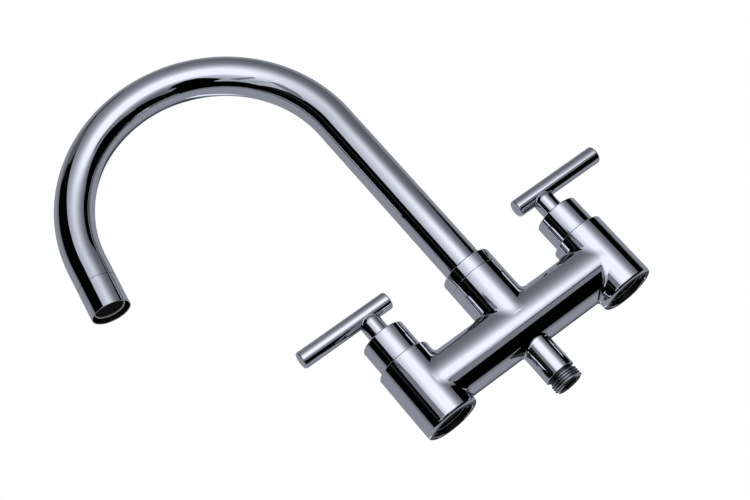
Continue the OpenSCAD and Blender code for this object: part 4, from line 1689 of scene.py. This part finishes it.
class CardShade(NodeTree):
    """The shader of a studio card, which glows by its direction from the studio's centre."""

    def __init__(self, name: str) -> None:
        """Starts the shader.

        Args:
            name: The material's name.
        """
        self.material = bpy.data.materials.new(name)
        self.material.use_nodes = True
        self.material.cycles.emission_sampling = "NONE"
        super().__init__(self.material.node_tree)
        self.group.nodes.clear()
        self.light = self.add("ShaderNodeEmission", {"Color": COOL})
        self.add("ShaderNodeOutputMaterial", {"Surface": self.light.outputs[0]})
        place = self.add("ShaderNodeTexCoord").outputs["Object"]
        outward = self.vector("SUBTRACT", place, CENTRE).outputs[0]
        self.way = self.vector("NORMALIZE", outward).outputs[0]

    def vector(self, operation: str, *terms: Socket | Vector) -> bpy.types.Node:
        """Adds a calculation with vectors.

        Args:
            operation: The Vector Math node's operation.
            terms: Sockets or constants.

        Returns:
            The node.
        """
        return self.add("ShaderNodeVectorMath", dict(enumerate(terms)), operation=operation)

    def along(self, axis: Vector) -> Socket:
        """How far the direction leans along an axis, from -1 to 1."""
        return self.vector("DOT_PRODUCT", self.way, axis).outputs["Value"]

    def ramp(self, value: Socket, ends: Point, levels: Point) -> Socket:
        """Goes softly from one level to another.

        Args:
            value: The socket that drives it.
            ends: The values at which it starts and ends.
            levels: The levels there.

        Returns:
            The socket with the level.
        """
        terms = dict(enumerate((value, *ends, *levels)))
        return self.add("ShaderNodeMapRange", terms, interpolation_type="SMOOTHSTEP").outputs[0]

    def echo(self, share: float, first_bounce: float = 1.5) -> Socket:
        """Dims what is seen by more than one reflection, as gaps and bores are dim.

        Args:
            share: How much is left of the light there.
            first_bounce: The ray depth above which a ray has bounced more than once.

        Returns:
            The socket with the factor.
        """
        depth = self.add("ShaderNodeLightPath").outputs["Ray Depth"]
        return self.math("MULTIPLY_ADD", self.math("GREATER_THAN", depth, first_bounce), share - 1.0, 1.0)

    def glow(self, strength: Socket | float, whiteness: Socket | None = None) -> None:
        """Sets the light.

        Args:
            strength: The brightness.
            whiteness: The socket that turns the cool tint white.
        """
        self.fill(self.light, {"Strength": strength})
        if whiteness is not None:
            tint = self.add("ShaderNodeMix", data_type="RGBA")
            self.fill(tint, {0: whiteness, 6: COOL, 7: WHITE})
            self.fill(self.light, {"Color": tint.outputs[2]})


@dataclass(frozen=True)
class HotSpot:
    """Where a diffuser's lamp shines through it, with a reach towards each side from 0 to 1."""

    azimuth: float
    elevation: float
    left: float
    right: float
    up: float
    down: float
    peak: float
    limit: float
    spill: float
    spill_ends: Point = (-0.6, -0.1)
    powers: Point = (2.0, 1.5)

    def strength(self, shade: CardShade, base: float) -> tuple[Socket, Socket]:
        """Adds the lamp's falloff to a shader.

        Args:
            shade: The card's shader.
            base: The brightness far from the lamp.

        Returns:
            The sockets with the brightness and with the falloff itself.
        """
        ahead = direction(self.azimuth, self.elevation)
        rightward = UP.cross(ahead).normalized()
        x, y = shade.along(rightward), shade.along(ahead.cross(rightward))
        reaches = ((x, self.right, -self.left), (y, self.up, -self.down))
        terms = []
        for (value, plus, minus), power in zip(reaches, self.powers):
            shares = [shade.math("DIVIDE", value, limit) for limit in (plus, minus)]
            terms.append(shade.math("POWER", shade.math("MAXIMUM", *shares), power))
        fall = shade.math("EXPONENT", shade.math("MULTIPLY", shade.math("ADD", *terms), -1.0))
        level = shade.ramp(x, self.spill_ends, (base + self.spill, base))
        return shade.math("MINIMUM", shade.math("MULTIPLY_ADD", fall, self.peak, level), self.limit), fall


@dataclass(frozen=True)
class Card:
    """A studio card seen only in reflections, given by the directions of its corners.

    A direction is an azimuth from the front towards the right and an elevation, in degrees. A
    card with a foot has that grey at its lowest corner and goes softly to its own grey above.
    """

    name: str
    distance: float
    grey: float
    corners: tuple[Point, ...]
    spot: HotSpot | None = None
    foot: float | None = None
    foot_rise: float = 0.5
    step_degrees: float = 4.0
    folds: int = 7

    def build(self) -> None:
        """Hangs the card round the object, curved to one distance from the centre."""
        rim = []
        for (a0, e0), (a1, e1) in zip(self.corners, self.corners[1:] + self.corners[:1]):
            steps = max(1, round(math.hypot(a1 - a0, e1 - e0) / self.step_degrees))
            rim += [direction(a0 + (a1 - a0) * i / steps, e0 + (e1 - e0) * i / steps) for i in range(steps)]
        work = bmesh.new()
        loop = [work.verts.new(way) for way in rim]
        edges = [work.edges.new((a, b)) for a, b in zip(loop, loop[1:] + loop[:1])]
        bmesh.ops.triangle_fill(work, use_beauty=True, edges=edges)
        bmesh.ops.subdivide_edges(work, edges=work.edges[:], cuts=self.folds, use_grid_fill=True)
        for vert in work.verts:
            vert.co = CENTRE + vert.co.normalized() * self.distance
        shade = CardShade(self.name)
        if self.spot:
            shade.glow(*self.spot.strength(shade, self.grey))
        elif self.foot is not None:
            low = math.sin(math.radians(min(elevation for _, elevation in self.corners)))
            shade.glow(shade.ramp(shade.along(UP), (low, low + self.foot_rise), (self.foot, self.grey)))
        else:
            shade.glow(self.grey)
        hang(self.name, work, shade)


def hang(name: str, work: bmesh.types.BMesh, shade: CardShade) -> None:
    """Puts a studio card on the stage so that only reflections show it.

    Args:
        name: The card's name.
        work: Its mesh, which is used up.
        shade: Its shader.
    """
    mesh = bpy.data.meshes.new(name)
    work.to_mesh(mesh)
    work.free()
    mesh.materials.append(shade.material)
    card = add_object(name, mesh)
    for kind in ("camera", "diffuse", "shadow", "transmission"):
        setattr(card, f"visible_{kind}", False)


@dataclass
class Studio:
    """The room round the object: backdrop, cards, floor, lamp and camera."""

    floor_z: float = -900.0
    floor_half: float = 6.0
    room_r: float = 3.2
    room_lean: Triple = (0.025, 1, 0.025)
    dark_grey: float = 0.0008
    table_span: Point = (0.0, 0.35)
    table_greys: Point = (0.15, 0.29)
    table_echo: float = 0.12
    fill_light: float = 0.7
    lamp_at: Triple = (-0.6, -1.6, 1.6)
    lamp_size: float = 1.2
    lamp_watts: float = 12.0
    eye: Triple = (-362.858, -945.479, -231.203)
    forward: Triple = (0.30486, 0.89107, 0.33623)
    right: Triple = (0.78353, -0.03396, -0.62042)
    clip_span: Point = (0.01, 20)
    sensor_mm: float = 36.0
    focal_px: float = 1592.2132
    image_px: tuple[int, int] = (750, 500)

    def camera(self) -> None:
        """Sets the camera."""
        data = bpy.data.cameras.new("camera")
        data.sensor_width = self.sensor_mm
        data.lens = self.focal_px / self.image_px[0] * self.sensor_mm
        data.clip_start, data.clip_end = self.clip_span
        camera = add_object("camera", data)
        forward, right = Vector(self.forward).normalized(), Vector(self.right).normalized()
        axes = Matrix((right, right.cross(forward), -forward)).transposed().to_4x4()
        camera.matrix_world = Matrix.Translation(Vector(self.eye) * MM) @ axes
        bpy.context.scene.camera = camera

    def world(self) -> None:
        """Makes the even surroundings, white to the eye and a little dimmer as a light."""
        world = bpy.data.worlds.new("white_room")
        bpy.context.scene.world = world
        world.use_nodes = True
        world.node_tree.nodes.clear()
        tree = NodeTree(world.node_tree)
        path = tree.add("ShaderNodeLightPath")
        seen = tree.math("MAXIMUM", path.outputs["Is Camera Ray"], path.outputs["Is Glossy Ray"])
        either = tree.math("MAXIMUM", seen, path.outputs["Is Transmission Ray"])
        mix = tree.add("ShaderNodeMixShader", {0: either})
        for slot, strength in ((1, self.fill_light), (2, 1.0)):
            glow = tree.add("ShaderNodeBackground", {"Color": (1, 1, 1, 1), "Strength": strength})
            tree.fill(mix, {slot: glow.outputs[0]})
        tree.add("ShaderNodeOutputWorld", {"Surface": mix.outputs[0]})

    def surround(self) -> None:
        """Hangs the dark room in front of the object and the grey table behind it."""
        lean = Vector(self.room_lean)
        for name, sign in (("dark_room", -1), ("grey_table", 1)):
            work = bmesh.new()
            bmesh.ops.create_uvsphere(work, u_segments=64, v_segments=32, radius=self.room_r)
            bmesh.ops.bisect_plane(
                work,
                geom=work.verts[:] + work.edges[:] + work.faces[:],
                plane_co=(0, lean[0] * self.room_r, 0),
                plane_no=-sign * lean,
                clear_outer=True,
            )
            bmesh.ops.translate(work, verts=work.verts, vec=CENTRE)
            shade = CardShade(name)
            if sign > 0:
                grey = shade.ramp(shade.along(Vector((0, 1, 0))), self.table_span, self.table_greys)
                shade.glow(shade.math("MULTIPLY", grey, shade.echo(self.table_echo)))
            else:
                shade.glow(self.dark_grey)
            hang(name, work, shade)

    def cards(self) -> None:
        """Hangs the lit diffuser, its dark hem and creases, and the lesser cards."""
        lamp = HotSpot(
            azimuth=4, elevation=-2.2, left=0.45, right=0.42, up=0.44, down=0.27, peak=1.75, limit=1.03, spill=0.27
        )
        diffuser = (
            (-17, 82), (-21, 60), (-20, 40), (-23, 31), (-28, 27), (-38, 26), (-43, 16), (-50, 5), (-56, -6),
            (-64, -16), (-60, -22), (-53, -37), (-48, -38), (-41, -27), (-30, -25), (-19, -21), (-14, -22),
            (-11, -30), (-12, -44), (-21, -47), (-23, -58), (-12, -59), (8, -50), (20, -42), (25, -37),
            (30, -27), (50, -16), (60, -10), (70, -3), (80, 2), (92, 4), (92, 82),
        )  # fmt: skip
        hem_line = ((20, -20), (23, -16.5), (28, -13), (34, -12), (34, -17), (26, -20), (21, -23))
        hem = (
            (16, -20), (20, -21), (23, -17), (26, -12), (31, -12), (32, -27), (28, -34), (20, -46), (16, -48),
        )  # fmt: skip
        flag = ((61, 15), (59, -4), (61, -14), (93, -8), (93, 13), (90, 19), (84, 20.5), (72, 17.5))
        shelf = (
            (-28.5, 3), (-28.5, 9), (-31.3, 12), (-34, 12.8), (-38, 13.3), (-48, 13.6), (-50, 5), (-38, 2),
            (-34, 3),
        )  # fmt: skip
        shelf_edge = (
            (-30.3, 11.8), (-33, 12.6), (-36, 13.2), (-44, 13.5), (-44, 13.9), (-36, 13.9), (-33, 13.4),
            (-30.3, 12.7),
        )  # fmt: skip
        back_lamp = ((149, 5), (152, 2), (170, 2), (173, 5), (173, 35), (170, 38), (152, 38), (149, 35))
        back_flags = [((a, -2), (a + 5, -2), (a + 5, 42), (a, 42)) for a in (144, 173)]
        for card in (
            Card("diffuser", 3.0, 0.113, diffuser, lamp),
            Card("hem", 2.9, 0.21, hem),
            Card("hem_line", 2.85, 0.1, hem_line),
            Card("crease", 2.9, 0.15, ((-28, -1), (-32, -3), (-49, -22), (-45, -26), (-34, -9))),
            Card("soft_crease", 2.9, 0.33, ((-34, 3), (-38, 1), (-52, -14), (-49, -16))),
            Card("shelf", 2.92, 0.2, shelf),
            Card("shelf_edge", 2.88, 0.055, shelf_edge),
            Card("flag", 2.9, 0.001, flag),
            Card("door", 3.1, 0.018, ((-63.5, -22), (-57, -22), (-57, 30), (-63.5, 30))),
            Card("cloth", 3.1, 0.1, ((-95, 66), (-60, 70), (-25, 62), (-18, 82), (-95, 82))),
            Card("back_flag_left", 3.1, 0.004, back_flags[0]),
            Card("back_flag_right", 3.1, 0.004, back_flags[1]),
            Card("back_lamp", 3.0, 0.95, back_lamp),
            Card("back_strip", 3.0, 0.95, ((189, -32), (198, -32), (198, -2), (189, -2))),
            Card("back_table_edge", 3.1, 0.03, ((138, -40), (187, -40), (187, -2), (138, -2)), foot=0.27),
        ):
            card.build()

    def floor(self) -> None:
        """Lays the pale floor."""
        mesh = bpy.data.meshes.new("floor")
        half, height = self.floor_half, self.floor_z * MM
        corners = [(x * half, y * half, height) for x, y in ((-1, -1), (1, -1), (1, 1), (-1, 1))]
        mesh.from_pydata(corners, [], [(0, 1, 2, 3)])
        mesh.materials.append(FLOOR.material())
        ground = add_object("floor", mesh)
        ground.visible_glossy = False

    def lamp(self) -> None:
        """Hangs one soft lamp over the front."""
        data = bpy.data.lights.new("soft_lamp", "AREA")
        data.shape, data.size, data.energy = "DISK", self.lamp_size, self.lamp_watts
        lamp = add_object("soft_lamp", data)
        lamp.location = self.lamp_at
        lamp.rotation_euler = (CENTRE - lamp.location).to_track_quat("-Z", "Y").to_euler()
        lamp.visible_glossy = False

    def build(self) -> None:
        """Sets up the whole studio."""
        self.camera()
        self.world()
        self.surround()
        self.cards()
        self.floor()
        self.lamp()
        bpy.context.scene.view_settings.view_transform = "Standard"


def main() -> None:
    """Builds the mixer piece by piece and sets up its studio."""
    logging.basicConfig(level=logging.INFO, format="%(message)s")
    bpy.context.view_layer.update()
    slots = {part["node"]: part["material_slot"] for part in frame["record"]["subparts"]}
    InnerParts(frame["nodes"], slots).dress()
    Casting().build()
    Nipple().build()
    Spout().build()
    for side in Side:
        Handle(side).build()
    Studio().build()


if __name__ == "__main__":
    main()
